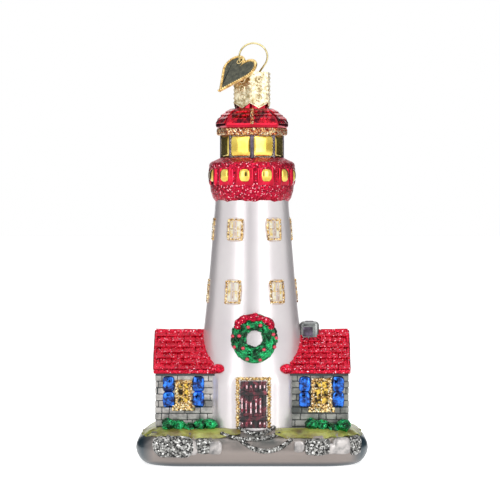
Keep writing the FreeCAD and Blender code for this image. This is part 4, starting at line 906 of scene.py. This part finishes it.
BUSH = Vector((2.116, 2.25, 1.9))
bushes = bmesh.new()
for face in (-1, 1):
    flip = sized(1, -face, 1)
    for middle, count in ((-18.5, 5), (22.4, 4)):
        for number in range(count):
            across = middle + (number - (count - 1) / 2) * 3.1
            heart = Vector((across, -13.3, 11.4 + 0.8 * math.sin(number * 1.9 + 1.0)))
            add_ball(bushes, 3, flip @ at(*heart) @ sized(*BUSH))
            for leaf in range(34):
                way = Vector((dice.gauss(0, 1), -abs(dice.gauss(0, 1)), dice.gauss(0.2, 0.8))).normalized()
                aim = way.to_track_quat("-Y", "Z").to_matrix().to_4x4()
                add_ball(bushes, 1, flip @ at(*heart + way * BUSH) @ aim
                         @ Matrix.Rotation(dice.uniform(0, math.pi), 4, "Y") @ sized(0.34, 0.2, 0.78))
settle("bush_leaves", bushes, green_glaze, "bushes", 60)

# ---------------------------------------------------------------------------------------------
# Crown cap: stamped six-sided tinplate with a pale gold plating. The die gives each face three
# beaded rings, a plaited line down each corner and a beaded, pointed lower edge.

def plated(name, wear_and_glints, bright, roughness):
    """Thin gold plating, bright in patches and browner where it is rubbed."""
    made, shader = finish(name, bright, roughness, 1.0)
    tree = made.node_tree
    depth = brush_on(tree, shader, 700.0, 0.25)
    colour = blend_colours(tree, mapped(tree, depth, 0.36, 0.62), wear_and_glints, bright)
    tree.links.new(colour, shader.inputs["Base Color"])
    tree.links.new(mapped(tree, depth, 0.0, 1.0, roughness + 0.1, roughness - 0.04), shader.inputs["Roughness"])
    return made


def add_hoop(shape, thick, segments, steps, matrix):
    """A stamped ring of about a millimetre's radius, round local Z."""
    kept = set(shape.verts)
    wire = bmesh.ops.create_circle(shape, cap_ends=False, segments=segments, radius=thick,
                                   matrix=at(0.98, 0, 0) @ rotated(90, "X"))["verts"]
    edges = dict.fromkeys(edge for vert in wire for edge in vert.link_edges)
    spin_round(shape, [*wire, *edges], steps)
    bmesh.ops.transform(shape, matrix=matrix, verts=[vert for vert in shape.verts if vert not in kept])


cap_plate = plated("pale gold plate", (0.34, 0.26, 0.12), (0.88, 0.80, 0.58), 0.26)
dress("crown_cap", cap_plate)
CAP_REACH = 5.85
emboss = bmesh.new()
for number in range(6):
    face = facing_out(24 + 60 * number, CAP_REACH * math.cos(math.radians(30)), 0)
    for rise in (114.3, 111.6, 108.8):
        add_hoop(emboss, 0.2, 8, 20, face @ at(0, 0, rise) @ rotated(90, "X"))
        add_ball(emboss, 2, face @ at(0, 0.12, rise), 0.36)
        for across in (-1.6, 1.6):
            add_ball(emboss, 1, face @ at(across, 0, rise + 1.35), 0.22)
    corner = facing_out(54 + 60 * number, 5.78, 0)
    for bead in range(15):
        lean = 1 if bead % 2 else -1
        add_ball(emboss, 2, corner @ at(0.26 * lean, 0.12, 107.4 + 0.62 * bead) @ rotated(35 * lean, "Y")
                 @ sized(0.75, 0.8, 1.25), 0.34)
    for bead in range(11):
        across = -2.7 + 0.54 * bead
        add_ball(emboss, 1, face @ at(across, 0, 106.3 + 1.15 * abs(across) / 2.7), 0.26)
for vert in emboss.verts:
    vert.co.z = min(vert.co.z, 116.5)
settle("cap_embossing", emboss, cap_plate, sharp=60, body="cap")

# ---------------------------------------------------------------------------------------------
# Hanging loop: one length of hard-drawn, gold-plated spring wire. Its legs go through the cap
# and press out against the inside of the neck.

dress("hanger_wire", plated("gold plated wire", (0.42, 0.34, 0.12), (0.82, 0.72, 0.4), 0.24))

# ---------------------------------------------------------------------------------------------
# Heart tag: stamped brass with a beaded rim. Its plain field is blacked, so that the rim and the
# eyelet stand out in gold.

tag_brass = plated("tag brass", (0.5, 0.32, 0.1), (0.95, 0.74, 0.36), 0.3)
dress("heart_tag", tag_brass)
FACE = Vector((-0.987, -1.0, 1.163)).normalized()
POINT = math.radians(50)
DOWN = Vector((-math.cos(POINT), 0, -math.sin(POINT)))
DOWN.y = 1.163 * DOWN.z - 0.987 * DOWN.x
DOWN.normalize()
EYELET = Vector((-1.9, 11.8, 0))
TAG = (at(-3.4942, -1.1378, 119.6760) @ Matrix((FACE.cross(DOWN), -DOWN, FACE)).transposed().to_4x4()
       @ at(*-EYELET))


def heart_point(share, inset):
    """A point of the heart's outline, from its point up the right side and down the left."""
    radius, place, height = 4.0, 3.1, 9.8
    slope = math.hypot(place, height)
    spread = math.atan2(place, height) + math.asin(radius / slope)
    reach = math.sqrt(slope * slope - radius * radius)
    touch = Vector((reach * math.sin(spread), reach * math.cos(spread)))
    start = math.atan2(touch.y - height, touch.x - place)
    arc = radius * (math.pi - math.acos(place / radius) - start)
    run = (share if share <= 0.5 else 1 - share) * 2 * (reach + arc)
    if run < reach:
        spot = touch * (run / reach) - Vector((touch.y, -touch.x)).normalized() * inset
    else:
        angle = start + (run - reach) / radius
        spot = Vector((place, height)) + Vector((math.cos(angle), math.sin(angle))) * (radius - inset)
    return spot if share <= 0.5 else Vector((-spot.x, spot.y))


rim_beads = bmesh.new()
for number in range(62):
    spot = heart_point(number / 62, 0.42)
    if (spot - EYELET.xy).length >= 1.15:
        add_ball(rim_beads, 2, TAG @ at(*spot, 0.2), 0.36)
add_hoop(rim_beads, 0.17, 10, 28, TAG @ at(*EYELET.xy, 0.24))
settle("tag_beads", rim_beads, tag_brass, sharp=60, body="tag")

field = bmesh.new()
sheet = field.faces.new([field.verts.new((*heart_point(number / 96, 0.9), 0.1)) for number in range(96)])
push_out(field, [sheet], (0, 0, 0.06))
bmesh.ops.transform(field, matrix=TAG, verts=field.verts)
black_field = lacquer("tag blacking", (0.05, 0.055, 0.04), (0.16, 0.16, 0.11), 0.5, 0.5, coat=0.1,
                      patch_scale=900.0)
settle("tag_field", field, black_field, body="tag")

# ---------------------------------------------------------------------------------------------
# Photographer's table: white sweep, soft boxes at both sides of the camera and one over the
# ornament, and dark cards beside it, which give the bright metal its dark edges.

def soft_box(name, place, size, power):
    """A soft rectangular lamp that looks at the ornament."""
    lamp = bpy.data.lights.new(name, "AREA")
    lamp.shape = "RECTANGLE"
    lamp.size, lamp.size_y = size
    lamp.energy = power
    made = bpy.data.objects.new(name, lamp)
    made.location = place
    made.rotation_mode = "QUATERNION"
    made.rotation_quaternion = (Vector((0, 0, 0.06)) - Vector(place)).to_track_quat("-Z", "Y")
    bpy.context.scene.collection.objects.link(made)


def seen_directly(tree):
    """A mask of the rays that see the studio itself, apart from those that light it."""
    rays = add_node(tree, "ShaderNodeLightPath").outputs
    seen = reckon(tree, "MAXIMUM", rays["Is Camera Ray"], rays["Is Glossy Ray"])
    return reckon(tree, "MAXIMUM", seen, rays["Is Transmission Ray"])


soft_box("left soft box", (-0.42, -0.62, 0.28), (0.34, 0.7), 1.6)
soft_box("right soft box", (0.42, -0.62, 0.30), (0.34, 0.7), 1.95)
soft_box("top soft box", (0, -0.05, 0.75), (0.6, 0.5), 0.9)

card_cloth = finish("dark card", (0.02, 0.025, 0.035), 0.9)[0]
for name, place, size in (("left card", (-0.42, 0.28, 0.12), (0.56, 0.7)),
                          ("right card", (0.42, 0.28, 0.12), (0.56, 0.7)),
                          ("front card", (-0.17, -1.2, 0.2), (0.30, 0.9))):
    card = bmesh.new()
    bmesh.ops.create_grid(card, x_segments=1, y_segments=1, size=0.5,
                          matrix=at(*place) @ rotated(90, "X") @ sized(*size, 1))
    standing = as_object(name, card, card_cloth)
    standing.visible_camera = False
    standing.visible_diffuse = False
    standing.visible_shadow = False

table_white, shader = finish("white table", (0.86, 0.86, 0.86), 0.6)
tree = table_white.node_tree
shader.inputs["Emission Color"].default_value = (1, 1, 1, 1)
tree.links.new(reckon(tree, "MULTIPLY", seen_directly(tree), 0.8), shader.inputs["Emission Strength"])
sweep = bmesh.new()
bmesh.ops.create_grid(sweep, x_segments=1, y_segments=1, size=3.0)
table = as_object("table", sweep, table_white)

world = bpy.data.worlds.new("studio")
bpy.context.scene.world = world
world.use_nodes = True
tree = world.node_tree
background = tree.nodes["Background"].inputs
background["Color"].default_value = (1, 1, 1, 1)
tree.links.new(mapped(tree, seen_directly(tree), 0.0, 1.0, 0.3, 1.0), background["Strength"])

eye = bpy.data.cameras.new("camera")
eye.lens = 192
eye.sensor_width = 36
eye.clip_start, eye.clip_end = 0.01, 20
camera = bpy.data.objects.new("camera", eye)
camera.location = (-0.0006, -0.8, 0.085)
camera.rotation_mode = "QUATERNION"
camera.rotation_quaternion = (Vector((-0.0006, 0, 0.0633)) - camera.location).to_track_quat("-Z", "Y")
bpy.context.scene.collection.objects.link(camera)
bpy.context.scene.camera = camera
bpy.context.scene.view_settings.view_transform = "Standard"
